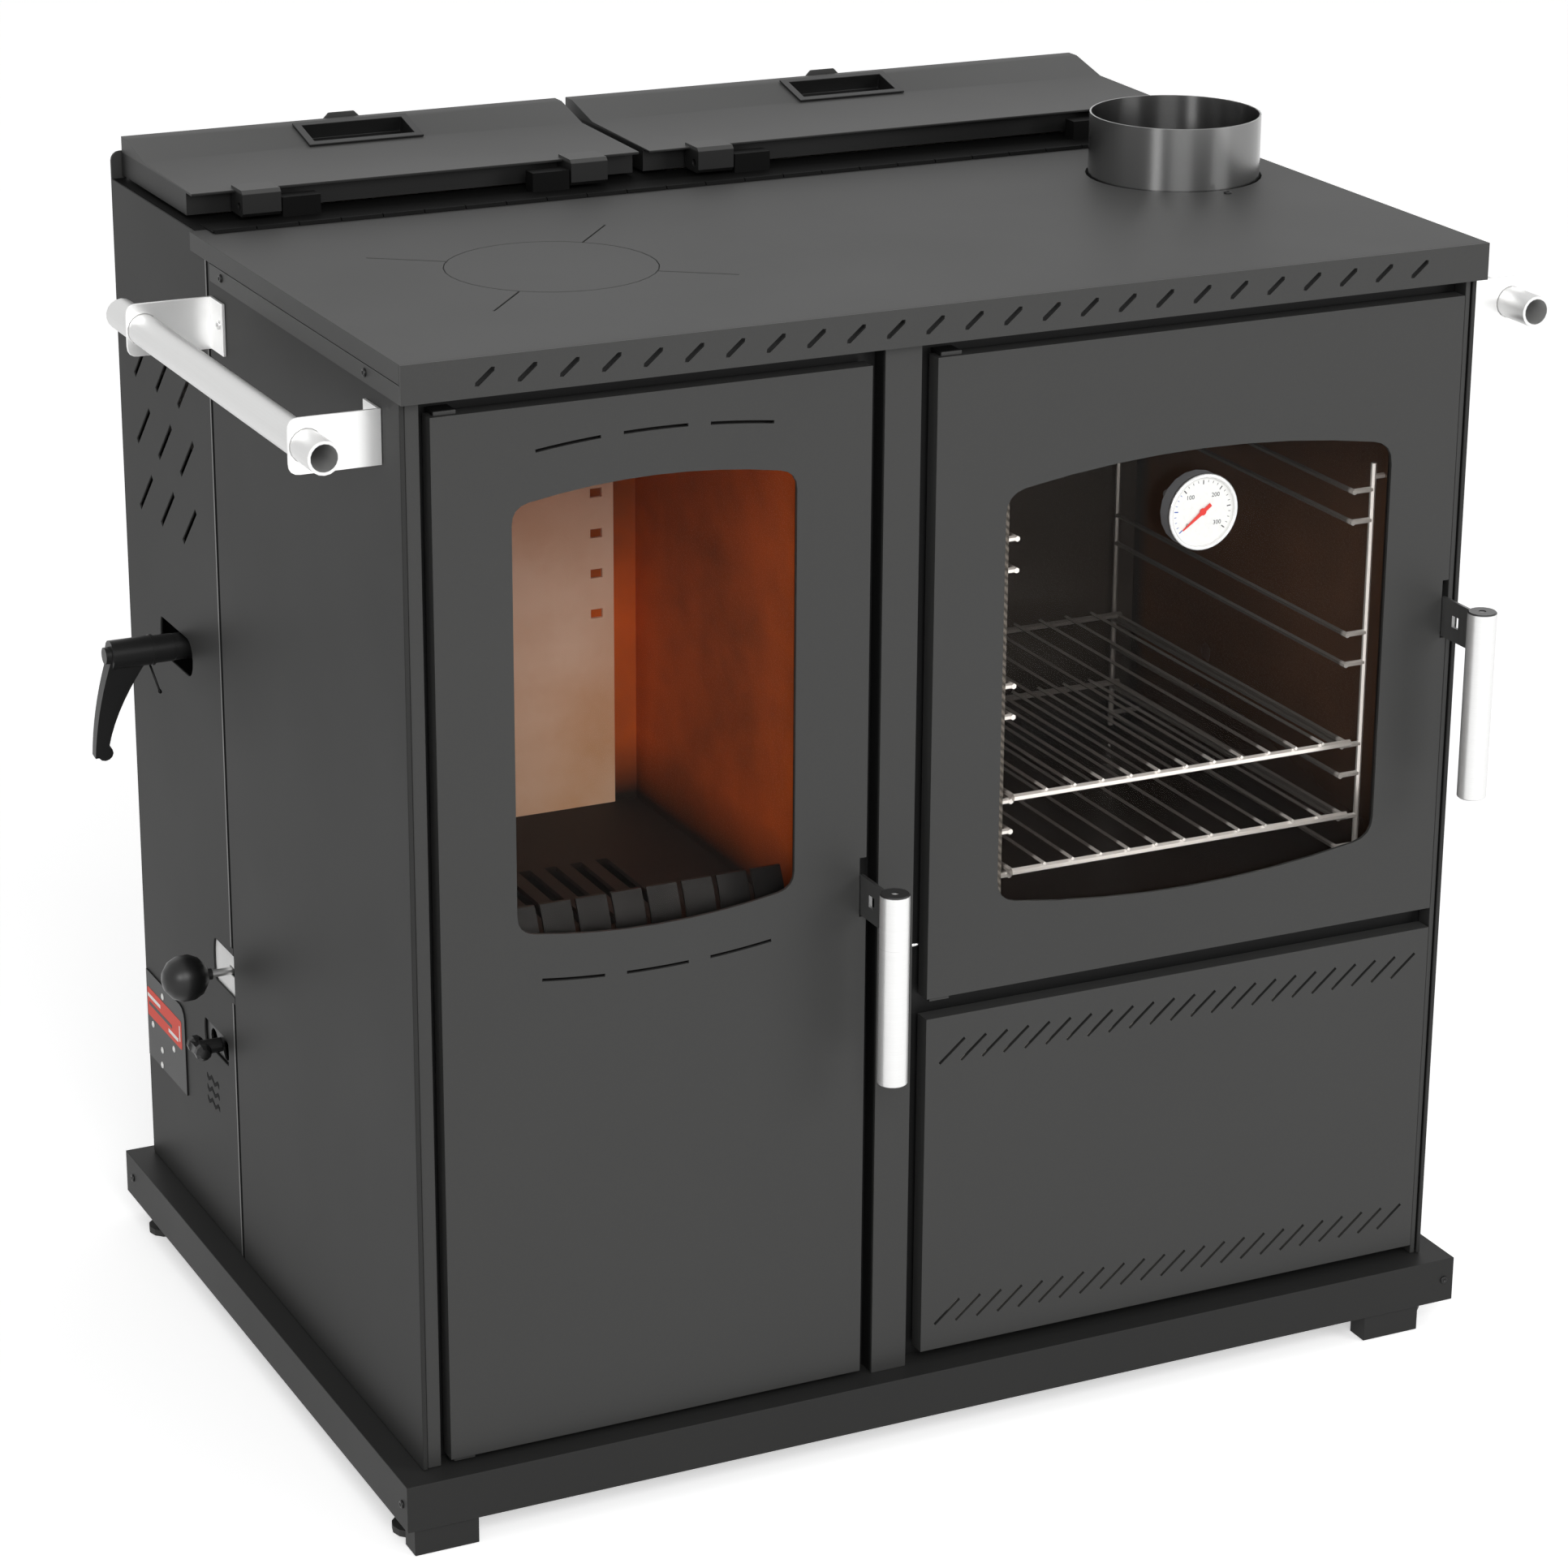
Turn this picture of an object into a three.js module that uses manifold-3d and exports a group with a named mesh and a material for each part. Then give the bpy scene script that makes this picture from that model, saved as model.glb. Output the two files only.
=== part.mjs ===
// A free-standing cooking stove that burns pellets and wood, as an assembly of separate pieces.
// Millimetres, +X to the right, +Y to the back, +Z up. The front faces -Y and the floor is z = 0.
// Inside the stove group y is measured back from the front face of the plinth.
import * as THREE from "three";
import { mergeVertices } from "three/addons/utils/BufferGeometryUtils.js";
import Module from "manifold-3d";

const wasm = await Module();
wasm.setup();

// Values that every piece shares
const GAP = 0.3; // air left between two pieces that touch
const OVERRUN = 3; // how far a cutting tool runs past the face it cuts
const ROUND = {
  pin: 12, wire: 6, thin: 4, foot: 12, tube: 18, grip: 20, collar: 36, plate: 36, ball: 14, lobe: 10,
  bend: 4, window: 8,
};

// Driving dimensions of the carcass
const BODY = {
  width: 954.8, front: 21, rear: 707.7, sheet: 2, seam: 452, seamGap: 3, seamFold: 14, returnWidth: 4,
  stepIn: 1,
};
const TOP = { height: 988, plate: 5, side: 2.6, lip: 16, lipSheet: 2.2, rear: 488, overhang: 11 };
const PLINTH = { border: 22.6, rearBorder: 12.3, height: 41, sheet: 2 };
const FOOT = {
  height: 24, discRadius: 17, disc: 6, stemRadius: 5, inset: 22, setback: 48, collarRadius: 9,
  collar: 5,
};
const SKID = { width: 56, depth: 22, setback: 3, sheet: 2, insetLeft: 7, insetRight: 34 };
const FRAME = { front: 40, sheet: 3 };
const POST = { sheet: 2, recess: 2, left: 16.4, right: 9.4 };
const COLUMN = { centreShare: -0.1173, width: 32 };

// Faces and levels that follow from them; shares run from the body's floor to its top
const sideFace = BODY.width / 2;
const rearSideFace = sideFace - BODY.stepIn;
const topHalf = sideFace + TOP.side;
const plinthTop = FOOT.height + PLINTH.height;
const plinthDepth = BODY.rear + PLINTH.rearBorder;
const floorOfBody = plinthTop + GAP;
const underTop = TOP.height - TOP.plate;
const levelAt = (share) => floorOfBody + share * (TOP.height - floorOfBody);
const columnLeft = COLUMN.centreShare * sideFace - COLUMN.width / 2;
const columnRight = columnLeft + COLUMN.width;

// Doors and drawer: left, right, bottom and top edges of each front
const FRONT = { face: 19, sheet: 3, depth: 16 };
const DOOR_EDGE = {
  left: 23.4, right: 12.4, column: 12, hingeColumn: 13.5, bottom: 6, top: 45, splitShare: 0.36166,
};
const DRAWER_EDGE = { bottom: 11, gap: 18 };
const FIRE = {
  left: DOOR_EDGE.left - sideFace,
  right: columnLeft - DOOR_EDGE.column,
  bottom: plinthTop + DOOR_EDGE.bottom,
  top: TOP.height - DOOR_EDGE.top,
};
const OVEN = {
  left: columnRight + DOOR_EDGE.hingeColumn,
  right: sideFace - DOOR_EDGE.right,
  bottom: levelAt(DOOR_EDGE.splitShare),
  top: TOP.height - DOOR_EDGE.top,
};
const DRAWER = {
  left: OVEN.left,
  right: OVEN.right,
  bottom: plinthTop + DRAWER_EDGE.bottom,
  top: OVEN.bottom - DRAWER_EDGE.gap,
};

// Windows, their decoration and the mouths in the front frame behind them
const FIRE_SIGHT = { side: 64.75, bottomShare: 0.49117, top: 78, bow: 12, corner: 14 };
const OVEN_SIGHT = { side: 63.75, bottom: 77, top: 119, bow: 17, corner: 18 };
const FIRE_WINDOW = {
  width: FIRE.right - FIRE.left - 2 * FIRE_SIGHT.side,
  bottom: levelAt(FIRE_SIGHT.bottomShare),
  top: FIRE.top - FIRE_SIGHT.top,
  bow: FIRE_SIGHT.bow,
  corner: FIRE_SIGHT.corner,
  slots: true,
};
const OVEN_WINDOW = {
  width: OVEN.right - OVEN.left - 2 * OVEN_SIGHT.side,
  bottom: OVEN.bottom + OVEN_SIGHT.bottom,
  top: OVEN.top - OVEN_SIGHT.top,
  bow: OVEN_SIGHT.bow,
  corner: OVEN_SIGHT.corner,
  slots: false,
};
const ARC_SLOT = {
  lengthShare: 0.2245, gapShare: 0.079, width: 2.5, sag: 6.5, above: 37, below: 37, steps: 5,
};
const within = (edges, { left, right, bottom, top }) => ({
  left: edges.left + left,
  right: edges.right - right,
  bottom: edges.bottom + bottom,
  top: edges.top - top,
});
const FIRE_MOUTH = within(FIRE, { left: 34, right: 40, bottom: 17, top: 21 });
const OVEN_MOUTH = within(OVEN, { left: 74.5, right: 33, bottom: 26, top: 58 });
const DRAWER_MOUTH = within(DRAWER, { left: 16.5, right: 13, bottom: 16, top: 15 });
const DOOR_PIN = {
  radius: 4, inset: 8, setback: 8, bite: 12, bracket: 3, bracketWidth: 18, bracketFront: 5,
};
const GLASS = { thickness: 4, overlap: 14 };
const INNER = { sheet: 3, inset: 8, latchSide: 24, sight: 3, lip: 3 };
const SEAL = { width: 7, margin: 2 };

// Apron vents
const APRON = { height: 31, sheet: 2.5, returnDepth: 430, slots: 25, slotSide: 67.2 };
const APRON_SLOT = { length: 21, width: 4, tilt: 40, ends: 2 };

// Door handles
const GRIP = {
  radius: 12.5, length: 165, edge: 1, standoff: 54, aside: 2.5, socket: 3.2, socketDepth: 4, rise: 2,
};
const HANDLE = { sheet: 3, height: 35, fromEdge: 4, nose: 17, noseDrop: 4, noseTop: 10 };
const HANDLE_PLACE = { fireShare: 0.45486, ovenShare: 0.63152 };
const HANDLE_WINDOW = { width: 9, height: 10 };
const NOTCH = { side: 0.5, below: 2, above: 14 };
const PIVOT = { radius: 4, length: 14, setback: 9, blockHeight: 20, blockLength: 15.5 };
const CATCH = { width: 8, below: 6, above: 4 };
const fireHandleBottom = levelAt(HANDLE_PLACE.fireShare);
const ovenHandleBottom = levelAt(HANDLE_PLACE.ovenShare);

// Firebox size, which places the pellet burner and its shaker behind it
const FIREBOX = {
  wall: 4,
  left: FIRE_MOUTH.left - 4,
  right: FIRE_MOUTH.right + 4,
  depth: 347,
  hearth: FIRE_WINDOW.bottom - 48.5,
  top: FIRE_MOUTH.top + 3,
};
const fireboxBack = FRAME.front + FRAME.sheet + GAP + FIREBOX.depth;

// Left side controls
const GATE = { y: 573, levelShare: 0.58166, shaft: 6, bore: 0.3, flapHalf: 38, flap: 3, flapSide: 3 };
const gateLevel = levelAt(GATE.levelShare);
const GATE_HOLE = { y: GATE.y + 5, z: gateLevel - 3, reach: 43, half: 17, bows: { rear: 4, front: 13 } };
const LEVER = {
  cap: 7.5, capLength: 5, hub: 13, hubLength: 36, ring: 13.8, ringLength: 2.5, sleeve: 12.3,
  sleeveLength: 17.5, groove: 11.4, grooveLength: 1.2, boss: 12, bossLength: 26,
};
const LEVER_ARM = {
  drop: 98, width: 13, thickness: 11.5, toe: 7, lean: 13, taper: 1.6, steps: 9, tipShare: 0.72,
};
const LEVER_IN = 5; // how far the boss of the lever stands out of the side panel
const LEVER_REST = 10; // degrees from hanging straight down, towards the back
const SHAKER = { behind: 78.1, levelShare: 0.29284, rod: 3.5, ball: 21, out: 40, neck: 5, neckLength: 3 };
const shakerY = fireboxBack + SHAKER.behind;
const shakerLevel = levelAt(SHAKER.levelShare);
const SHAKER_HOLE = {
  y: shakerY, z: shakerLevel - 1.5, reach: 40, half: 19.5, bows: { rear: 5, front: 5 },
};
const AIR = {
  y: 506, levelShare: 0.20126, shaft: 4, hub: 6.5, hubLength: 23, lobe: 8, lobeApart: 21, web: 9,
  wingDepth: 11, disc: 38,
};
const AIR_DISC = { sheet: 2, port: 9, portShare: 0.42 };
const airLevel = levelAt(AIR.levelShare);
const AIR_HOLE = { y: AIR.y + 4, z: airLevel + 1.5, reach: 32, half: 12, bows: { rear: 3, front: 3 } };
const SIDE_SLOT = {
  length: 56, width: 5, tilt: -45, columns: 3, rows: 3, pitchY: 58, pitchZ: 60, y: 529,
  lowShare: 0.71172,
};

// Hopper, deck and lids
const DECK = { sheet: 3, mouthFront: 540, mouthRear: 690 };
const LID = {
  sheet: 2, lift: 3, front: 518, wall: 14, rear: 703, frontTop: 24, kink: 642, kinkTop: 26,
  rearTop: 37,
};
const LID_EDGE = { left: 10.4, right: 8.4, split: 12, gap: 10, shelf: 15 };
const LIDS = {
  left: [LID_EDGE.left - sideFace, columnLeft + LID_EDGE.split],
  right: [columnLeft + LID_EDGE.split + LID_EDGE.gap, sideFace - LID_EDGE.right],
};
const MOUTH_INSET = 27;
const HINGE = { y: 508, rise: 12, radius: 3, width: 34, gap: 1.4, margin: 38, front: 8, back: 8, top: 6 };
const TAB = { front: 9, back: 19, top: 14.5, bottom: 8, chamfer: 3 };
const POCKET = { width: 106, height: 46, rim: 5, rimSheet: 2, depth: 13, sheet: 1.5 };
const BIN = { sheet: 2, straightShare: 0.24385 };
const NECK = { inset: 132.4, width: 130, front: 528, rear: 618, topShare: 0.6662, bottomShare: 0.4928 };
const neckSpan = [NECK.inset - sideFace, NECK.inset - sideFace + NECK.width];
const SPOUT = { behind: 11.7, depth: 86 };
const STORE = { taper: 30, depthShare: 0.25469 };
const BACK = { earWidth: 14, ear: 24, earRadius: 8, tabWidth: 36, tab: 41, tabChamfer: 6 };
const BACK_VENT = { length: 60, width: 5, pitch: 26, count: 6, down: 300, asideShare: 0.504 };

// Fire side
const BACK_PLATE = { sheet: 3, right: 26, top: 25, slotWidth: 11, slotHeight: 8, slotInset: 16 };
const BACK_PLATE_SLOTS = { down: 172, pitch: 36, count: 4 };
const GRATE = { width: 140, depth: 140, front: 120, slots: 6, slot: 11 };
const FLAME_PORT = { side: 15, bottom: 7, height: 28 };
const GUARD = { front: 62, sheet: 3, foot: 8, height: 46, lean: 13, fingers: 9, side: 8.5, gap: 4.5 };
const ASH_PAN = { sheet: 2, side: 14, front: 12, depth: 290, height: 120, pullWidth: 110, pull: 16 };
const BURNER = { depth: 106, height: 68, below: 26, sheet: 2 };
const BURNER_GRATE = { length: 78, side: 5, thickness: 5, slots: 5, slot: 6, slotMargin: 10 };

// Oven side
const OVENBOX = { wall: 3, depth: 445 };
const LADDER = {
  wire: 2.5, front: 76, rear: 470, stud: 8, standoff: 30, studInset: 12, foot: 9, pairGap: 27, head: 23,
};
const LADDER_SHARES = [0.7435, 0.4674, 0.2478, 0.1043];
const ladderLevels = LADDER_SHARES.map(
  (share) => OVEN_MOUTH.bottom + share * (OVEN_MOUTH.top - OVEN_MOUTH.bottom)
);
const RACK = { side: 2.5, bar: 3.2, wire: 1.8, wires: 11, front: 66, rear: 462, nose: 4 };
const DRAWER_BOX = {
  ...within(DRAWER, { left: 26.5, right: 25, bottom: 21, top: 39 }), rear: 500, sheet: 2,
};
const RUNNER = { sheet: 2.5, ledge: 14, height: 28, rear: 520, tab: 40, side: 2.6 };
const FRONT_SLOT = {
  length: 33, width: 2.6, tilt: 40, side: 24.65, count: 23, topMargin: 32, bottomMargin: 33,
};

// Thermometer on the oven glass
const DIAL = { radius: 32, depth: 16, bezel: 3, recess: 2.4, below: 33, aside: -6, stem: 4, stemLength: 44 };
const DIAL_NUT = { radius: 9, height: 5 };
const POINTER = { length: 23, tail: 9, width: 3, tip: 0.8, hub: 3, sheet: 0.8, rest: 217 };

// Cooktop fittings
const HOTPLATE = { inset: 221.8, y: 252.5, radius: 86.5, rebate: 3.1, plug: 77, plugDepth: 8, side: 0.4 };
const hotplatePlace = [HOTPLATE.inset - sideFace, HOTPLATE.y];
const RELIEF = { width: 1.4, length: 66 };
const RELIEF_ANGLES = [50, 145, -35, -130];
const COLLAR = {
  inset: 100.4, y: 348.5, radius: 75, wall: 1.5, rise: 54, drop: 32, flange: 13, flangeSheet: 3,
  hole: 2,
};
const collarPlace = [sideFace - COLLAR.inset, COLLAR.y];
const BEAD = {
  setback: 16, width: 6.4, strip: 16, stripSheet: 1.2, side: 12.4, split: 0.8, count: 25, sides: 3,
};
const beadPitch = (BODY.width - 2 * BEAD.side) / BEAD.count;

// Side rails
const RAIL = { radius: 13.3, wall: 2.4, out: 60.2, below: 66.5, front: 20, rear: 499 };
const railLevel = TOP.height - RAIL.below;
const BRACKET = {
  sheet: 2.5, height: 44, past: 14.5, foot: 32, front: 58, rear: 443.5, corner: 9, bore: 0.3,
};

// Faces worked out from the driving dimensions
const apronFront = BODY.front - TOP.overhang;
const apronBack = apronFront + APRON.sheet;
const frameBack = FRAME.front + FRAME.sheet;
const frontInside = FRONT.face + FRONT.sheet;
const glassBack = frontInside + GAP + GLASS.thickness;
const innerFront = glassBack + GAP;
const innerBack = innerFront + INNER.sheet;
const gripY = FRONT.face - GRIP.standoff;
const stoveFront = gripY - GRIP.radius;
const centreY = (plinthDepth + stoveFront) / 2;
const hingeZ = TOP.height + HINGE.rise;

// One fresh material for each mesh
const look = (color, roughness, metalness, more = {}) => () =>
  new THREE.MeshStandardMaterial({ color, roughness, metalness, ...more });
const LOOKS = {
  paint: look(0x3c3c3b, 0.55, 0.25),
  topPaint: look(0x4a4a49, 0.5, 0.3),
  brushed: look(0xa9aaac, 0.32, 0.95),
  polished: look(0xd9d9d9, 0.14, 1),
  tube: look(0xd2d3d4, 0.45, 0.6),
  chrome: look(0xe4e4e4, 0.08, 1),
  castIron: look(0x2c2c2c, 0.75, 0.4),
  heatSteel: look(0x55514c, 0.6, 0.6),
  zinc: look(0x9c9b97, 0.45, 0.8),
  enamel: look(0x201f1e, 0.35, 0.1),
  glass: look(0x2a2019, 0.05, 0, { transparent: true, opacity: 0.3 }),
  rope: look(0x8d8a82, 0.95, 0),
  plastic: look(0x141414, 0.4, 0),
  dial: look(0xf2f2ef, 0.5, 0),
  red: look(0xc22a20, 0.5, 0),
};

// Solids: closed geometry turned into something that can be joined and cut
function solid(geometry) {
  const plain = geometry.index ? geometry.toNonIndexed() : geometry.clone();
  for (const name of Object.keys(plain.attributes)) {
    if (name !== "position") plain.deleteAttribute(name);
  }
  const merged = mergeVertices(plain);
  return new wasm.Manifold(
    new wasm.Mesh({
      numProp: 3,
      vertProperties: new Float32Array(merged.attributes.position.array),
      triVerts: new Uint32Array(merged.index.array),
    })
  );
}

const join = (parts) => parts.reduce((whole, part) => whole.add(part));
const cut = (body, tools) => tools.reduce((rest, tool) => rest.subtract(tool), body);

function piece(name, body, material) {
  const { vertProperties, triVerts } = body.getMesh();
  const geometry = new THREE.BufferGeometry();
  geometry.setAttribute("position", new THREE.BufferAttribute(vertProperties, 3));
  geometry.setIndex(new THREE.BufferAttribute(triVerts, 1));
  geometry.computeVertexNormals();
  const mesh = new THREE.Mesh(geometry, material());
  mesh.name = name;
  return mesh;
}

function assembly(meshes, position = [0, 0, 0]) {
  const group = new THREE.Group();
  group.position.set(...position);
  group.add(...meshes);
  return group;
}

// A box given by its lowest and highest values along X, Y and Z
function block([x0, x1], [y0, y1], [z0, z1]) {
  const geometry = new THREE.BoxGeometry(x1 - x0, y1 - y0, z1 - z0);
  geometry.translate((x0 + x1) / 2, (y0 + y1) / 2, (z0 + z1) / 2);
  return solid(geometry);
}

const unitX = new THREE.Vector3(1, 0, 0);
const unitY = new THREE.Vector3(0, 1, 0);
const unitZ = new THREE.Vector3(0, 0, 1);
const drawnInXZ = new THREE.Matrix4().makeBasis(unitX, unitZ, unitY.clone().negate());
const drawnInYZ = new THREE.Matrix4().makeBasis(unitY, unitZ, unitX);

// A flat outline drawn out to a depth; its holes are cut as solids that run past both faces
function drawnOut(shape, depth, place) {
  const extrude = (path, over) => {
    const bare = new THREE.Shape(path.getPoints(ROUND.bend));
    const geometry = new THREE.ExtrudeGeometry(bare, { depth: depth + 2 * over, bevelEnabled: false });
    return solid(place(geometry.translate(0, 0, -over)));
  };
  return cut(extrude(shape, 0), shape.holes.map((hole) => extrude(hole, OVERRUN)));
}

// Outlines drawn in X and Z, Y and Z, or X and Y, and drawn out along the third direction
const alongY = (shape, y0, y1) =>
  drawnOut(shape, y1 - y0, (geometry) => geometry.applyMatrix4(drawnInXZ).translate(0, y1, 0));
const alongX = (shape, x0, x1) =>
  drawnOut(shape, x1 - x0, (geometry) => geometry.applyMatrix4(drawnInYZ).translate(x0, 0, 0));
const alongZ = (shape, z0, z1) => drawnOut(shape, z1 - z0, (geometry) => geometry.translate(0, 0, z0));

const outline = (points) => new THREE.Shape(points.map(([a, b]) => new THREE.Vector2(a, b)));
const rectangle = (a0, a1, b0, b1) => outline([[a0, b0], [a1, b0], [a1, b1], [a0, b1]]);
const withHoles = (shape, holes) => {
  shape.holes.push(...holes);
  return shape;
};

// A ring, open through the middle, between an outer and an inner rectangle
const ringShape = ([a0, a1], [b0, b1], width) =>
  withHoles(rectangle(a0, a1, b0, b1), [rectangle(a0 + width, a1 - width, b0 + width, b1 - width)]);

function rod(axis, radius, from, to, [a, b], sides = ROUND.pin) {
  const geometry = new THREE.CylinderGeometry(radius, radius, to - from, sides);
  const middle = (from + to) / 2;
  if (axis === "x") return solid(geometry.rotateZ(-Math.PI / 2).translate(middle, a, b));
  if (axis === "y") return solid(geometry.translate(a, middle, b));
  return solid(geometry.rotateX(Math.PI / 2).translate(a, b, middle));
}

// A turned piece: [radius, place along the axis] points, about X or Z
function turned(axis, profile, sides) {
  const geometry = new THREE.LatheGeometry(profile.map(([r, h]) => new THREE.Vector2(r, h)), sides);
  return solid(axis === "x" ? geometry.rotateZ(-Math.PI / 2) : geometry.rotateX(Math.PI / 2));
}

// A narrow slot, tilted from the level by an angle in degrees
function slot([a, b], { length, width, tilt, ends = 1 }) {
  const turn = THREE.MathUtils.degToRad(tilt);
  const reach = (length - width) / 2;
  const points = [];
  for (const end of [1, -1]) {
    for (let i = 0; i <= ends; i++) {
      const angle = turn + (end > 0 ? -Math.PI / 2 : Math.PI / 2) + (Math.PI * i) / ends;
      points.push([
        a + end * reach * Math.cos(turn) + (width / 2) * Math.cos(angle),
        b + end * reach * Math.sin(turn) + (width / 2) * Math.sin(angle),
      ]);
    }
  }
  return outline(points);
}

// A rectangle whose top and bottom edges bow outwards, with round corners
function bowedWindow(centre, { width, bottom, top, bow, corner }) {
  const half = width / 2;
  const radius = (half * half + bow * bow) / (2 * bow);
  const rise = (x) => Math.sqrt(radius * radius - x * x) - (radius - bow);
  const shape = new THREE.Shape();
  const inner = half - corner;
  shape.moveTo(centre - half, bottom + corner);
  shape.lineTo(centre - half, top - corner);
  shape.quadraticCurveTo(centre - half, top + rise(half), centre - inner, top + rise(inner));
  for (let i = 1; i <= ROUND.window; i++) {
    const x = -inner + (2 * inner * i) / ROUND.window;
    shape.lineTo(centre + x, top + rise(x));
  }
  shape.quadraticCurveTo(centre + half, top + rise(half), centre + half, top - corner);
  shape.lineTo(centre + half, bottom + corner);
  shape.quadraticCurveTo(centre + half, bottom - rise(half), centre + inner, bottom - rise(inner));
  for (let i = 1; i <= ROUND.window; i++) {
    const x = inner - (2 * inner * i) / ROUND.window;
    shape.lineTo(centre + x, bottom - rise(x));
  }
  shape.quadraticCurveTo(centre - half, bottom - rise(half), centre - half, bottom + corner);
  return shape;
}

// One of the thin curved slots above or below the fire window
function arcSlot(centre, place, span, level, way) {
  const length = ARC_SLOT.lengthShare * span;
  const gap = ARC_SLOT.gapShare * span;
  const x = place * (length + gap);
  const half = length + gap + length / 2;
  const radius = (half * half + ARC_SLOT.sag * ARC_SLOT.sag) / (2 * ARC_SLOT.sag);
  const edge = (u, side) => {
    const r = radius + (side * ARC_SLOT.width) / 2;
    const fall = Math.sqrt(radius * radius - u * u) * (r / radius) - radius;
    return [centre + (u * r) / radius, level + way * fall];
  };
  const along = [];
  for (let i = 0; i <= ARC_SLOT.steps; i++) along.push(x - length / 2 + (length * i) / ARC_SLOT.steps);
  return outline([...along.map((u) => edge(u, 1)), ...along.reverse().map((u) => edge(u, -1))]);
}

// A hollow or solid stack of level rectangles, joined by flat walls
function loft(sections) {
  const points = [];
  for (const { x, y, z } of sections) {
    points.push([x[0], y[0], z], [x[1], y[0], z], [x[1], y[1], z], [x[0], y[1], z]);
  }
  const faces = [[0, 2, 1], [0, 3, 2]];
  const last = points.length - 4;
  for (let s = 0; s < sections.length - 1; s++) {
    for (let i = 0; i < 4; i++) {
      const a = 4 * s + i;
      const b = 4 * s + ((i + 1) % 4);
      faces.push([a, b, b + 4], [a, b + 4, a + 4]);
    }
  }
  faces.push([last, last + 1, last + 2], [last, last + 2, last + 3]);
  const geometry = new THREE.BufferGeometry();
  geometry.setAttribute("position", new THREE.Float32BufferAttribute(points.flat(), 3));
  geometry.setIndex(faces.flat());
  return solid(geometry);
}

const shrink = ([low, high], by) => [low + by, high - by];

// Base: plinth, skids and levelling feet
function base() {
  const half = sideFace + PLINTH.border;
  const shell = block([-half, half], [0, plinthDepth], [FOOT.height, plinthTop]);
  const hollow = block(
    shrink([-half, half], PLINTH.sheet),
    shrink([0, plinthDepth], PLINTH.sheet),
    [FOOT.height - OVERRUN, plinthTop - PLINTH.sheet]
  );
  const underside = plinthTop - PLINTH.sheet;
  const skids = [-half + SKID.insetLeft, half - SKID.insetRight - SKID.width].map((x) => {
    const spanX = [x, x + SKID.width];
    const spanY = [SKID.setback, SKID.setback + SKID.depth];
    const inside = block(
      shrink(spanX, SKID.sheet),
      shrink(spanY, SKID.sheet),
      [-OVERRUN, underside - SKID.sheet]
    );
    return block(spanX, spanY, [0, plinthTop - PLINTH.sheet / 2]).subtract(inside);
  });
  const feet = [];
  for (const [row, y] of [["front", FOOT.setback], ["rear", plinthDepth - FOOT.setback]]) {
    for (const [side, x] of [["left", -half + FOOT.inset], ["right", half - FOOT.inset]]) {
      const foot = join([
        rod("z", FOOT.discRadius, 0, FOOT.disc, [0, 0], ROUND.foot),
        rod("z", FOOT.collarRadius, 0, FOOT.disc + FOOT.collar, [0, 0], ROUND.pin),
        rod("z", FOOT.stemRadius, 0, underside - GAP, [0, 0], ROUND.wire),
      ]);
      feet.push(assembly([piece("foot_" + row + "_" + side, foot, LOOKS.plastic)], [x, y, 0]));
    }
  }
  return [piece("plinth", join([shell.subtract(hollow), ...skids]), LOOKS.paint), ...feet];
}

// Side panels: a front pair with both upright edges folded in, and a rear pair with vents
function frontSide(side) {
  const outer = side * sideFace;
  const inner = outer - side * BODY.sheet;
  const plan = outline([
    [outer, BODY.front],
    [outer - side * BODY.returnWidth, BODY.front],
    [outer - side * BODY.returnWidth, BODY.front + BODY.sheet],
    [inner, BODY.front + BODY.sheet],
    [inner, BODY.seam - BODY.sheet],
    [outer - side * BODY.seamFold, BODY.seam - BODY.sheet],
    [outer - side * BODY.seamFold, BODY.seam],
    [outer, BODY.seam],
  ]);
  const panel = alongZ(plan, floorOfBody, underTop - GAP);
  if (side > 0) return panel;
  return cut(panel, [rod("x", SHAKER.rod + GAP, outer - OVERRUN, inner + OVERRUN, [shakerY, shakerLevel])]);
}

// A hole with a level top and bottom, whose two ends bow out by their own amounts
const flatSidedHole = ({ y, z, reach, half, bows }) => {
  const points = [];
  for (const [way, bow] of [[1, bows.rear], [-1, bows.front]]) {
    for (let i = 0; i <= 2 * ROUND.bend; i++) {
      const angle = (Math.PI * i) / (2 * ROUND.bend) - Math.PI / 2;
      points.push([y + way * (reach - bow + bow * Math.cos(angle)), z + way * half * Math.sin(angle)]);
    }
  }
  return outline(points);
};

function rearSide(side) {
  const front = BODY.seam + BODY.seamGap;
  const rear = BODY.rear - BODY.sheet - GAP;
  const step = TOP.rear + GAP;
  const top = TOP.height;
  const shape = outline([
    [front, floorOfBody], [rear, floorOfBody], [rear, top], [step, top], [step, underTop - GAP],
    [front, underTop - GAP],
  ]);
  const span = [rearSideFace - BODY.sheet, rearSideFace];
  const [x0, x1] = side > 0 ? span : [-span[1], -span[0]];
  const tools = [];
  for (let column = 0; column < SIDE_SLOT.columns; column++) {
    for (let row = 0; row < SIDE_SLOT.rows; row++) {
      const place = [
        SIDE_SLOT.y + column * SIDE_SLOT.pitchY,
        levelAt(SIDE_SLOT.lowShare) + row * SIDE_SLOT.pitchZ,
      ];
      shape.holes.push(slot(place, SIDE_SLOT));
    }
  }
  if (side < 0) {
    for (const hole of [GATE_HOLE, AIR_HOLE, SHAKER_HOLE]) {
      tools.push(alongX(flatSidedHole(hole), x0 - OVERRUN, x1 + OVERRUN));
    }
  }
  return cut(alongX(shape, x0, x1), tools);
}

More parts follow.
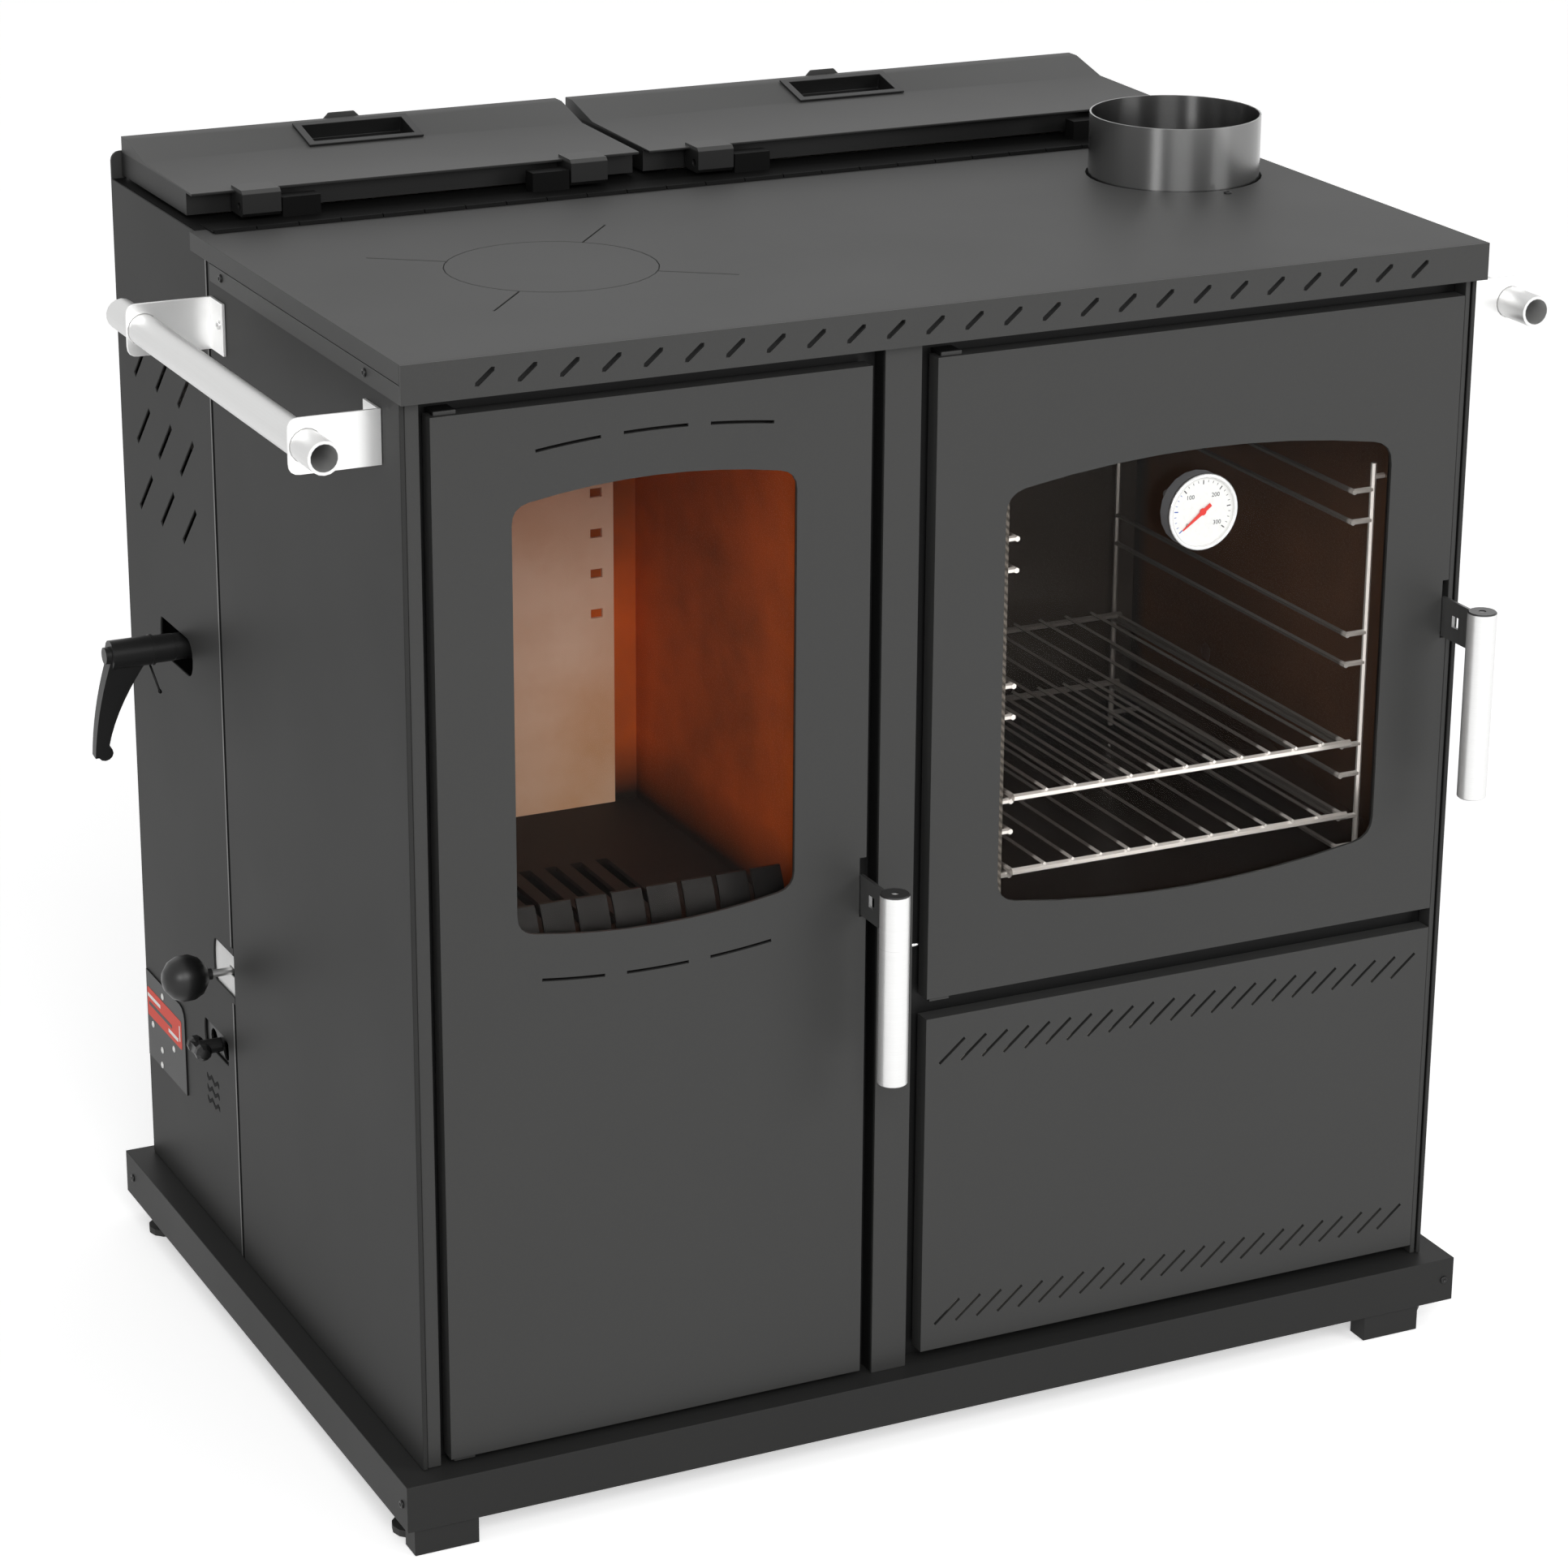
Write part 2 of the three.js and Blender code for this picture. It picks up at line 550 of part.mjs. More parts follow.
// Back panel with round ears at its top corners, two lid stops and a row of vents
function backPanel() {
  const half = rearSideFace;
  const top = TOP.height;
  const points = [[-half, floorOfBody], [half, floorOfBody]];
  const ear = (side) => {
    const rim = [];
    for (let i = 0; i <= ROUND.bend; i++) {
      const angle = (Math.PI / 2) * (i / ROUND.bend);
      const across = BACK.earRadius * (1 - Math.cos(angle));
      rim.push([side * (half - across), top + BACK.ear - BACK.earRadius * (1 - Math.sin(angle))]);
    }
    rim.push([side * (half - BACK.earWidth), top + BACK.ear], [side * (half - BACK.earWidth), top]);
    return side > 0 ? rim : rim.reverse();
  };
  const tab = ([x0, x1]) => {
    const middle = (x0 + x1) / 2;
    const reach = BACK.tabWidth / 2;
    const high = top + BACK.tab;
    return [
      [middle + reach, top], [middle + reach, high - BACK.tabChamfer],
      [middle + reach - BACK.tabChamfer, high],
      [middle - reach + BACK.tabChamfer, high], [middle - reach, high - BACK.tabChamfer],
      [middle - reach, top],
    ];
  };
  points.push(...ear(1), ...tab(LIDS.right), ...tab(LIDS.left), ...ear(-1));
  const shape = outline(points);
  for (const side of [-1, 1]) {
    for (let i = 0; i < BACK_VENT.count; i++) {
      const x = side * BACK_VENT.asideShare * rearSideFace + (
        i - (BACK_VENT.count - 1) / 2
      ) * BACK_VENT.pitch;
      shape.holes.push(slot([x, top - BACK_VENT.down], { ...BACK_VENT, tilt: 90 }));
    }
  }
  return alongY(shape, BODY.rear - BODY.sheet, BODY.rear);
}

// Posts and column: folded strips that run from the door faces back to the front frame
function upright([x0, x1], y, back, flangeAt) {
  const tall = [floorOfBody, underTop - GAP];
  const parts = [block([x0, x1], [y, y + POST.sheet], tall)];
  for (const edge of flangeAt) {
    const spanX = edge === "left" ? [x0, x0 + POST.sheet] : [x1 - POST.sheet, x1];
    parts.push(block(spanX, [y, back], tall));
  }
  return join(parts);
}

function posts() {
  const groove = sideFace - BODY.returnWidth - GAP * 2;
  const recessed = BODY.front + POST.recess;
  const back = FRAME.front - GAP;
  return [
    piece("post_left", upright([-groove, POST.left - sideFace], recessed, back, ["right"]), LOOKS.paint),
    piece("post_right", upright([sideFace - POST.right, groove], recessed, back, ["left"]), LOOKS.paint),
  ];
}

const mouth = ({ left, right, bottom, top }) => rectangle(left, right, bottom, top);

// Front frame behind the doors, welded up with the column, the door pins and the drawer's runners;
// a slot behind each latch nose takes its bite
function frontFrame() {
  const half = sideFace - BODY.sheet - GAP;
  const bites = [[FIRE, fireHandleBottom], [OVEN, ovenHandleBottom]].map(([door, level]) =>
    rectangle(
      ...centred(door.right - HANDLE.fromEdge, CATCH.width),
      level + HANDLE.noseDrop - CATCH.below,
      level + HANDLE.height - HANDLE.noseTop + CATCH.above
    )
  );
  const shape = withHoles(rectangle(-half, half, floorOfBody, underTop - GAP), [
    mouth(FIRE_MOUTH), mouth(OVEN_MOUTH), mouth(DRAWER_MOUTH), ...bites,
  ]);
  const weld = FRAME.front + FRAME.sheet / 2;
  const column = upright([columnLeft, columnRight], BODY.front, weld, ["left", "right"]);
  const parts = [column, ...doorPins(weld), runner(-1), runner(1)];
  return join([alongY(shape, FRAME.front, frameBack), ...parts]);
}

// Slotted band that wraps the front and runs back along both sides
function apron() {
  const half = topHalf;
  const pitch = (2 * (half - APRON.slotSide)) / (APRON.slots - 1);
  const bottom = TOP.height - APRON.height;
  const sideTop = TOP.height - TOP.lip - GAP;
  const shape = rectangle(-half, half, bottom, TOP.height);
  for (let i = 0; i < APRON.slots; i++) {
    const x = (i - (APRON.slots - 1) / 2) * pitch;
    shape.holes.push(slot([x, (bottom + TOP.height) / 2], APRON_SLOT));
  }
  const sheet = half - sideFace - GAP;
  const sides = [[-half, -half + sheet], [half - sheet, half]].map((spanX) =>
    block(spanX, [apronFront, apronFront + APRON.returnDepth], [bottom, sideTop])
  );
  return join([alongY(shape, apronFront, apronBack), ...sides]);
}

// Cooktop plate with folded side lips, a rebated hole for the hotplate and a hole for the collar
function cooktop() {
  const half = topHalf;
  const front = apronBack + GAP;
  const centre = hotplatePlace;
  const plate = block([-half, half], [front, TOP.rear], [underTop, TOP.height]);
  const lips = [[-half, -half + TOP.lipSheet], [half - TOP.lipSheet, half]].map((spanX) =>
    block(spanX, [front, TOP.rear], [TOP.height - TOP.lip, TOP.height])
  );
  const above = TOP.height + OVERRUN;
  const below = underTop - OVERRUN;
  const rebate = TOP.height - HOTPLATE.rebate - GAP;
  const relief = RELIEF_ANGLES.map((angle) => {
    const reach = HOTPLATE.radius + RELIEF.length;
    const line = new THREE.BoxGeometry(reach - HOTPLATE.plug, RELIEF.width, above - below);
    line.translate((reach + HOTPLATE.plug) / 2, 0, (above + below) / 2);
    line.rotateZ(THREE.MathUtils.degToRad(angle)).translate(...centre, 0);
    return solid(line);
  });
  return cut(join([plate, ...lips]), [
    rod("z", HOTPLATE.radius + HOTPLATE.side, rebate, above, centre, ROUND.plate),
    rod("z", HOTPLATE.plug + HOTPLATE.side, below, above, centre, ROUND.plate),
    rod("z", COLLAR.radius + COLLAR.hole, below, above, collarPlace, ROUND.collar),
    ...relief,
  ]);
}

function hotplate() {
  const underside = TOP.height - HOTPLATE.rebate;
  const disc = join([
    rod("z", HOTPLATE.radius, 0, HOTPLATE.rebate, [0, 0], ROUND.plate),
    rod("z", HOTPLATE.plug, -HOTPLATE.plugDepth, HOTPLATE.rebate, [0, 0], ROUND.plate),
  ]);
  return assembly([piece("hotplate_disc", disc, LOOKS.topPaint)], [...hotplatePlace, underside]);
}

function flueCollar() {
  const inner = COLLAR.radius - COLLAR.wall;
  const flangeTop = -TOP.plate - GAP;
  const flangeBottom = flangeTop - COLLAR.flangeSheet;
  const wide = COLLAR.radius + COLLAR.flange;
  const profile = [
    [inner, -COLLAR.drop], [COLLAR.radius, -COLLAR.drop], [COLLAR.radius, flangeBottom],
    [wide, flangeBottom],
    [wide, flangeTop], [COLLAR.radius, flangeTop], [COLLAR.radius, COLLAR.rise], [inner, COLLAR.rise],
    [inner, -COLLAR.drop],
  ];
  const collar = piece("flue_collar", turned("z", profile, ROUND.collar), LOOKS.brushed);
  return assembly([collar], [...collarPlace, TOP.height]);
}

// Deck round the hopper mouths, with the bead along its front and the fixed halves of the lid hinges
const mouthX = ([x0, x1]) => [x0 + MOUTH_INSET, x1 - MOUTH_INSET];

function hingePlaces([x0, x1]) {
  const first = x0 + HINGE.margin;
  const last = x1 - HINGE.margin;
  const step = HINGE.width + HINGE.gap;
  return [
    { tab: first, fixed: first + step },
    { tab: last - HINGE.width, fixed: last - HINGE.width - step },
  ];
}

function hingeBlock({ tab, fixed }) {
  const spanY = [HINGE.y - HINGE.front, HINGE.y + HINGE.back];
  const body = block([fixed, fixed + HINGE.width], spanY, [TOP.height - DECK.sheet, hingeZ + HINGE.top]);
  const inside = HINGE.width - HINGE.gap;
  const [x0, x1] = tab < fixed ? [tab + HINGE.gap, fixed + HINGE.gap] : [fixed + inside, tab + inside];
  return body.add(rod("x", HINGE.radius, x0, x1, [HINGE.y, hingeZ]));
}

function bead() {
  const y = TOP.rear - BEAD.setback;
  const base = TOP.height + GAP;
  const half = (beadPitch * BEAD.count) / 2;
  const crown = [];
  for (let i = 0; i <= BEAD.sides; i++) {
    const angle = (Math.PI * i) / BEAD.sides;
    crown.push([y + (BEAD.width / 2) * Math.cos(angle), base + (BEAD.width / 2) * Math.sin(angle)]);
  }
  const knuckles = [];
  for (let i = 0; i < BEAD.count; i++) {
    const x = -half + i * beadPitch;
    knuckles.push(alongX(outline(crown), x + BEAD.split, x + beadPitch));
  }
  const strip = block([-half, half], [y, TOP.rear + BEAD.strip], [base, base + BEAD.stripSheet]);
  return join([strip, ...knuckles]);
}

function hopperDeck() {
  const half = rearSideFace - BODY.sheet - GAP;
  const thick = [TOP.height - DECK.sheet, TOP.height];
  const plate = block([-half, half], [TOP.rear + GAP, BODY.rear - BODY.sheet - GAP], thick);
  const spans = Object.values(LIDS);
  const mouths = spans.map(
    (span) => block(mouthX(span), [DECK.mouthFront, DECK.mouthRear], shrink(thick, -OVERRUN))
  );
  const sheet = cut(plate, mouths);
  const blocks = spans.flatMap(hingePlaces).map(hingeBlock);
  const seat = block(
    [BEAD.side - sideFace, sideFace - BEAD.side],
    [TOP.rear + GAP, TOP.rear + BEAD.strip],
    [TOP.height - DECK.sheet, TOP.height + GAP + BEAD.stripSheet]
  );
  return join([sheet, seat, bead(), ...blocks]);
}

// Lids: folded boxes, open below, hinged at their front edge so that the back rises
function lid(name, [x0, x1]) {
  const y = (value) => value - HINGE.y;
  const z = (value) => value - HINGE.rise;
  const wallY = LID.front + LID.wall;
  const shelfY = LID.rear - LID_EDGE.shelf;
  const outer = outline([
    [y(wallY), z(LID.lift)], [y(wallY), z(LID.frontTop - LID.sheet)],
    [y(LID.front), z(LID.frontTop - LID.sheet)],
    [y(LID.front), z(LID.frontTop)], [y(LID.kink), z(LID.kinkTop)], [y(shelfY), z(LID.rearTop)],
    [y(LID.rear), z(LID.rearTop)], [y(LID.rear), z(LID.lift)],
  ]);
  const inner = outline([
    [y(wallY + LID.sheet), z(LID.lift - OVERRUN)], [y(wallY + LID.sheet), z(LID.frontTop - LID.sheet)],
    [y(LID.kink), z(LID.kinkTop - LID.sheet)], [y(shelfY), z(LID.rearTop - LID.sheet)],
    [y(LID.rear - LID.sheet), z(LID.rearTop - LID.sheet)], [y(LID.rear - LID.sheet), z(LID.lift - OVERRUN)],
  ]);
  const shell = alongX(outer, x0, x1).subtract(alongX(inner, x0 + LID.sheet, x1 - LID.sheet));
  const tabs = hingePlaces([x0, x1]).map(({ tab }) => {
    const shape = outline([
      [-TAB.front, -TAB.bottom + TAB.chamfer], [-TAB.front + TAB.chamfer, -TAB.bottom],
      [TAB.back - TAB.chamfer, -TAB.bottom], [TAB.back, -TAB.bottom + TAB.chamfer],
      [TAB.back, TAB.top], [-TAB.front + TAB.chamfer, TAB.top], [-TAB.front, TAB.top - TAB.chamfer],
    ]);
    return alongX(shape, tab, tab + HINGE.width);
  });
  const bores = hingePlaces([x0, x1]).map(({ tab }) =>
    rod("x", HINGE.radius + GAP, tab - OVERRUN, tab + HINGE.width + OVERRUN, [0, 0])
  );
  const slope = Math.atan2(LID.rearTop - LID.kinkTop, shelfY - LID.kink);
  const place = [(x0 + x1) / 2, y((LID.kink + shelfY) / 2), z((LID.kinkTop + LID.rearTop) / 2)];
  const wide = POCKET.width - 2 * POCKET.rim + 2 * GAP;
  const high = POCKET.height - 2 * POCKET.rim + 2 * GAP;
  const window = new THREE.BoxGeometry(wide, high, POCKET.depth * 2);
  window.rotateX(slope).translate(...place);
  const body = cut(join([shell, ...tabs]), [...bores, solid(window)]);
  const grip = piece("lid_grip_" + name, pocket(), LOOKS.plastic);
  grip.position.set(...place);
  grip.rotation.x = slope;
  return assembly([piece("hopper_lid_" + name, body, LOOKS.topPaint), grip], [0, HINGE.y, hingeZ]);
}

// Recessed finger pocket: a flat rim above the lid and a blind cup below it
function pocket() {
  const half = [POCKET.width / 2, POCKET.height / 2];
  const [cupX, cupY] = [half[0] - POCKET.rim, half[1] - POCKET.rim];
  const rim = block([-half[0], half[0]], [-half[1], half[1]], [GAP, GAP + POCKET.rimSheet]);
  const cup = block([-cupX, cupX], [-cupY, cupY], [-POCKET.depth, GAP + POCKET.rimSheet]);
  const hollow = block(
    shrink([-cupX, cupX], POCKET.sheet),
    shrink([-cupY, cupY], POCKET.sheet),
    [POCKET.sheet - POCKET.depth, GAP + POCKET.rimSheet + OVERRUN]
  );
  return join([rim, cup]).subtract(hollow);
}

// Pellet hopper on the left, with a neck for the gate and a slanting spout to the burner
function hopperLeft() {
  const top = TOP.height - DECK.sheet - GAP;
  const [x0, x1] = mouthX(LIDS.left);
  const mouthSpan = { x: [x0, x1], y: [DECK.mouthFront, DECK.mouthRear] };
  const neck = { x: neckSpan, y: [NECK.front, NECK.rear] };
  const spout = { x: neckSpan, y: [fireboxBack + SPOUT.behind, fireboxBack + SPOUT.behind + SPOUT.depth] };
  const foot = shakerLevel - BURNER.below + BURNER.height + GAP;
  const stack = (grow, over) => [
    { x: shrink(spout.x, -grow), y: shrink(spout.y, -grow), z: foot - over },
    { x: shrink(neck.x, -grow), y: shrink(neck.y, -grow), z: levelAt(NECK.bottomShare) },
    { x: shrink(neck.x, -grow), y: shrink(neck.y, -grow), z: levelAt(NECK.topShare) },
    { x: shrink(mouthSpan.x, -grow), y: shrink(mouthSpan.y, -grow), z: levelAt(1 - BIN.straightShare) },
    { x: shrink(mouthSpan.x, -grow), y: shrink(mouthSpan.y, -grow), z: top + over },
  ];
  const bore = rod("x", GATE.shaft + GATE.bore, ...shrink(neckSpan, -OVERRUN), [GATE.y, gateLevel]);
  return cut(loft(stack(BIN.sheet, 0)), [loft(stack(0, OVERRUN)), bore]);
}

// Closed-bottomed store under the right lid
function hopperRight() {
  const top = TOP.height - DECK.sheet - GAP;
  const [x0, x1] = mouthX(LIDS.right);
  const span = { x: [x0, x1], y: [DECK.mouthFront, DECK.mouthRear] };
  const low = levelAt(1 - STORE.depthShare);
  const stack = (grow, floor, over) => [
    { x: shrink(span.x, STORE.taper - grow), y: shrink(span.y, STORE.taper - grow), z: floor },
    { x: shrink(span.x, -grow), y: shrink(span.y, -grow), z: top + over },
  ];
  return loft(stack(BIN.sheet, low, 0)).subtract(loft(stack(0, low + BIN.sheet, OVERRUN)));
}

// Firebox with the ash chamber under its hearth, and the pellet burner on its back wall
function fireboxShell() {
  const { wall, left, right, hearth, top } = FIREBOX;
  const front = frameBack + GAP;
  const back = fireboxBack;
  const inside = shrink([left, right], wall);
  const shell = block([left, right], [front, back], [floorOfBody, top + wall]);
  const pitch = GRATE.width / GRATE.slots;
  const slots = [];
  for (let i = 0; i < GRATE.slots; i++) {
    const x = (left + right) / 2 + (i - (GRATE.slots - 1) / 2) * pitch;
    slots.push(
      block(
        centred(x, GRATE.slot),
        [GRATE.front, GRATE.front + GRATE.depth],
        shrink([hearth - wall, hearth], -wall)
      )
    );
  }
  const port = shakerLevel + FLAME_PORT.bottom;
  const portX = shrink(neckSpan, FLAME_PORT.side);
  const way = block(portX, [back - wall - OVERRUN, back + OVERRUN], [port, port + FLAME_PORT.height]);
  const body = cut(shell, [
    block(inside, [front - OVERRUN, back - wall], [hearth, top]),
    block(inside, [front - OVERRUN, back - wall], [floorOfBody + wall, hearth - wall]),
    ...slots,
  ]);
  return cut(body.add(burner(back)), [way]);
}

const centred = (middle, width) => [middle - width / 2, middle + width / 2];

function burner(back) {
  const { sheet } = BURNER;
  const spanX = neckSpan;
  const spanY = [back - sheet / 2, back + BURNER.depth];
  const low = shakerLevel - BURNER.below;
  const tray = block(spanX, spanY, [low, low + BURNER.height]);
  const hollow = block(
    shrink(spanX, sheet),
    [back, spanY[1] - sheet],
    [low + sheet, low + BURNER.height + OVERRUN]
  );
  const bore = rod(
    "x",
    SHAKER.rod + GAP,
    spanX[0] - OVERRUN,
    spanX[0] + sheet + OVERRUN,
    [shakerY, shakerLevel]
  );
  return cut(tray, [hollow, bore]);
}

function backPlate() {
  const back = fireboxBack - FIREBOX.wall - GAP;
  const left = FIREBOX.left + FIREBOX.wall + GAP;
  const right = FIREBOX.right - BACK_PLATE.right;
  const shape = rectangle(left, right, FIREBOX.hearth + GAP, FIREBOX.top - BACK_PLATE.top);
  const x = centred(right - BACK_PLATE.slotInset, BACK_PLATE.slotWidth);
  for (let i = 0; i < BACK_PLATE_SLOTS.count; i++) {
    const z = centred(
      FIREBOX.top - BACK_PLATE_SLOTS.down - i * BACK_PLATE_SLOTS.pitch,
      BACK_PLATE.slotHeight
    );
    shape.holes.push(rectangle(...x, ...z));
  }
  return alongY(shape, back - BACK_PLATE.sheet, back);
}

// Log guard: a foot strip with a row of fingers that lean in over the fire
function logGuard() {
  const middle = (FIREBOX.left + FIREBOX.right) / 2;
  const low = FIREBOX.hearth + GAP;
  const half = (FIREBOX.right - FIREBOX.left) / 2 - FIREBOX.wall - GUARD.side;
  const pitch = (2 * half) / GUARD.fingers;
  const front = [];
  const back = [];
  for (let i = 0; i <= ROUND.bend; i++) {
    const share = i / ROUND.bend;
    const y = GUARD.front + GUARD.lean * share * share;
    const z = low + GUARD.foot / 2 + (GUARD.height - GUARD.foot / 2) * share;
    front.push([y, z]);
    back.unshift([y + GUARD.sheet, z]);
  }
  const finger = outline([...front, ...back]);
  const fingers = [];
  for (let i = 0; i < GUARD.fingers; i++) {
    const x = middle - half + i * pitch + GUARD.gap / 2;
    fingers.push(alongX(finger, x, x + pitch - GUARD.gap));
  }
  const spanY = [GUARD.front, GUARD.front + GUARD.sheet];
  return join([block([middle - half, middle + half], spanY, [low, low + GUARD.foot]), ...fingers]);
}

function ashPan() {
  const { sheet } = ASH_PAN;
  const spanX = shrink([FIREBOX.left + FIREBOX.wall, FIREBOX.right - FIREBOX.wall], ASH_PAN.side);
  const front = frameBack + GAP + ASH_PAN.front;
  const spanY = [front, front + ASH_PAN.depth];
  const low = floorOfBody + FIREBOX.wall + GAP;
  const pan = block(spanX, spanY, [low, low + ASH_PAN.height]);
  const hollow = block(
    shrink(spanX, sheet),
    shrink(spanY, sheet),
    [low + sheet, low + ASH_PAN.height + OVERRUN]
  );
  const pullX = centred((spanX[0] + spanX[1]) / 2, ASH_PAN.pullWidth);
  const high = low + ASH_PAN.height;
  const lip = outline([
    [front - ASH_PAN.pull, high - ASH_PAN.pull], [front - ASH_PAN.pull + sheet, high - ASH_PAN.pull],
    [front - ASH_PAN.pull + sheet, high - sheet], [front + sheet / 2, high - sheet],
    [front + sheet / 2, high],
    [front - ASH_PAN.pull, high],
  ]);
  return pan.subtract(hollow).add(alongX(lip, ...pullX));
}

// Oven: enamelled box, wire ladders on both walls and two wire racks
function ovenBox() {
  const { left, right, bottom, top } = OVEN_MOUTH;
  const { wall } = OVENBOX;
  const front = frameBack + GAP;
  const back = front + OVENBOX.depth;
  const shell = block([left - wall, right + wall], [front, back + wall], [bottom - wall, top + wall]);
  return shell.subtract(block([left, right], [front - OVERRUN, back], [bottom, top]));
}

// Upright wires stand off the wall on studs; each runner's front end hooks back to its upright
function ladder(side) {
  const wall = side < 0 ? OVEN_MOUTH.left : OVEN_MOUTH.right;
  const inwards = (distance) => wall - side * distance;
  const uprightX = inwards(GAP + LADDER.stud + LADDER.wire);
  const runnerX = inwards(LADDER.standoff);
  const tall = [OVEN_MOUTH.bottom + LADDER.foot, ladderLevels[0] + LADDER.head];
  const across = (from, to, y, z) =>
    rod("x", LADDER.wire, ...[from, to].sort((a, b) => a - b), [y, z], ROUND.wire);
  const parts = [
    rod("z", LADDER.wire, ...tall, [uprightX, LADDER.front], ROUND.wire),
    rod("z", LADDER.wire, ...tall, [runnerX, LADDER.rear], ROUND.wire),
  ];
  for (const z of shrink(tall, LADDER.studInset)) {
    parts.push(across(inwards(GAP), uprightX, LADDER.front, z));
    parts.push(across(inwards(GAP), runnerX, LADDER.rear, z));
  }
  for (const level of ladderLevels) {
    for (const z of [level, level - LADDER.pairGap]) {
      parts.push(
        rod("y", LADDER.wire, LADDER.front - LADDER.wire, LADDER.rear, [runnerX, z], ROUND.wire)
      );
      parts.push(across(runnerX, uprightX, LADDER.front, z));
    }
  }
  return join(parts);
}

function rack(level) {
  const z = level + LADDER.wire + GAP + RACK.side;
  const spanX = [OVEN_MOUTH.left + LADDER.standoff, OVEN_MOUTH.right - LADDER.standoff];
  const parts = spanX.map((x) => rod("y", RACK.side, RACK.front, RACK.rear, [x, z], ROUND.wire));
  for (const y of [RACK.front, RACK.rear]) parts.push(
    rod("x", RACK.bar, ...shrink(spanX, -RACK.side), [y, z + RACK.bar - RACK.side], ROUND.wire)
  );
  const pitch = (spanX[1] - spanX[0]) / (RACK.wires + 1);
  for (let i = 1; i <= RACK.wires; i++) {
    const place = [spanX[0] + i * pitch, z + RACK.bar + RACK.wire];
    parts.push(rod("y", RACK.wire, RACK.front - RACK.nose, RACK.rear + RACK.nose, place, ROUND.thin));
  }
  return join(parts);
}

// Folded pan that makes each door and the drawer front: a sheet with flanges on its four edges
function pan({ left, right, bottom, top }, holes) {
  const sheet = alongY(withHoles(rectangle(left, right, bottom, top), holes), FRONT.face, frontInside);
  const rim = alongY(
    ringShape([left, right], [bottom, top], FRONT.sheet),
    FRONT.face,
    FRONT.face + FRONT.depth
  );
  return sheet.add(rim);
}

function drawer() {
  const { left, right, bottom, top, rear, sheet } = DRAWER_BOX;
  const holes = [];
  const pitch = (DRAWER.right - DRAWER.left - 2 * FRONT_SLOT.side) / (FRONT_SLOT.count - 1);
  for (let i = 0; i < FRONT_SLOT.count; i++) {
    const x = (DRAWER.left + DRAWER.right) / 2 + (i - (FRONT_SLOT.count - 1) / 2) * pitch;
    holes.push(slot([x, DRAWER.top - FRONT_SLOT.topMargin], FRONT_SLOT));
    holes.push(slot([x, DRAWER.bottom + FRONT_SLOT.bottomMargin], FRONT_SLOT));
  }
  const spanY = [frontInside + GAP, rear];
  const box = block([left, right], spanY, [bottom, top]);
  const hollow = block(shrink([left, right], sheet), shrink(spanY, sheet), [bottom + sheet, top + OVERRUN]);
  return assembly([
    piece("drawer_front", pan(DRAWER, holes), LOOKS.paint),
    piece("drawer_box", box.subtract(hollow), LOOKS.zinc),
  ]);
}

function runner(side) {
  const edge = side < 0 ? DRAWER_BOX.left : DRAWER_BOX.right;
  const inner = edge + side * RUNNER.side;
  const outer = inner + side * RUNNER.sheet;
  const under = inner - side * RUNNER.ledge;
  const front = FRAME.front + FRAME.sheet / 2;
  const top = DRAWER_BOX.bottom - GAP;
  const span = (a, b) => [Math.min(a, b), Math.max(a, b)];
  return join([
    block(span(inner, outer), [front, RUNNER.rear], [top - RUNNER.sheet, top + RUNNER.height]),
    block(span(under, outer), [front, RUNNER.rear], [top - RUNNER.sheet, top]),
    block(
      span(inner, edge + side * (RUNNER.tab - RUNNER.ledge)),
      [front, frameBack + RUNNER.sheet],
      [top - RUNNER.sheet, top + RUNNER.height]
    ),
  ]);
}

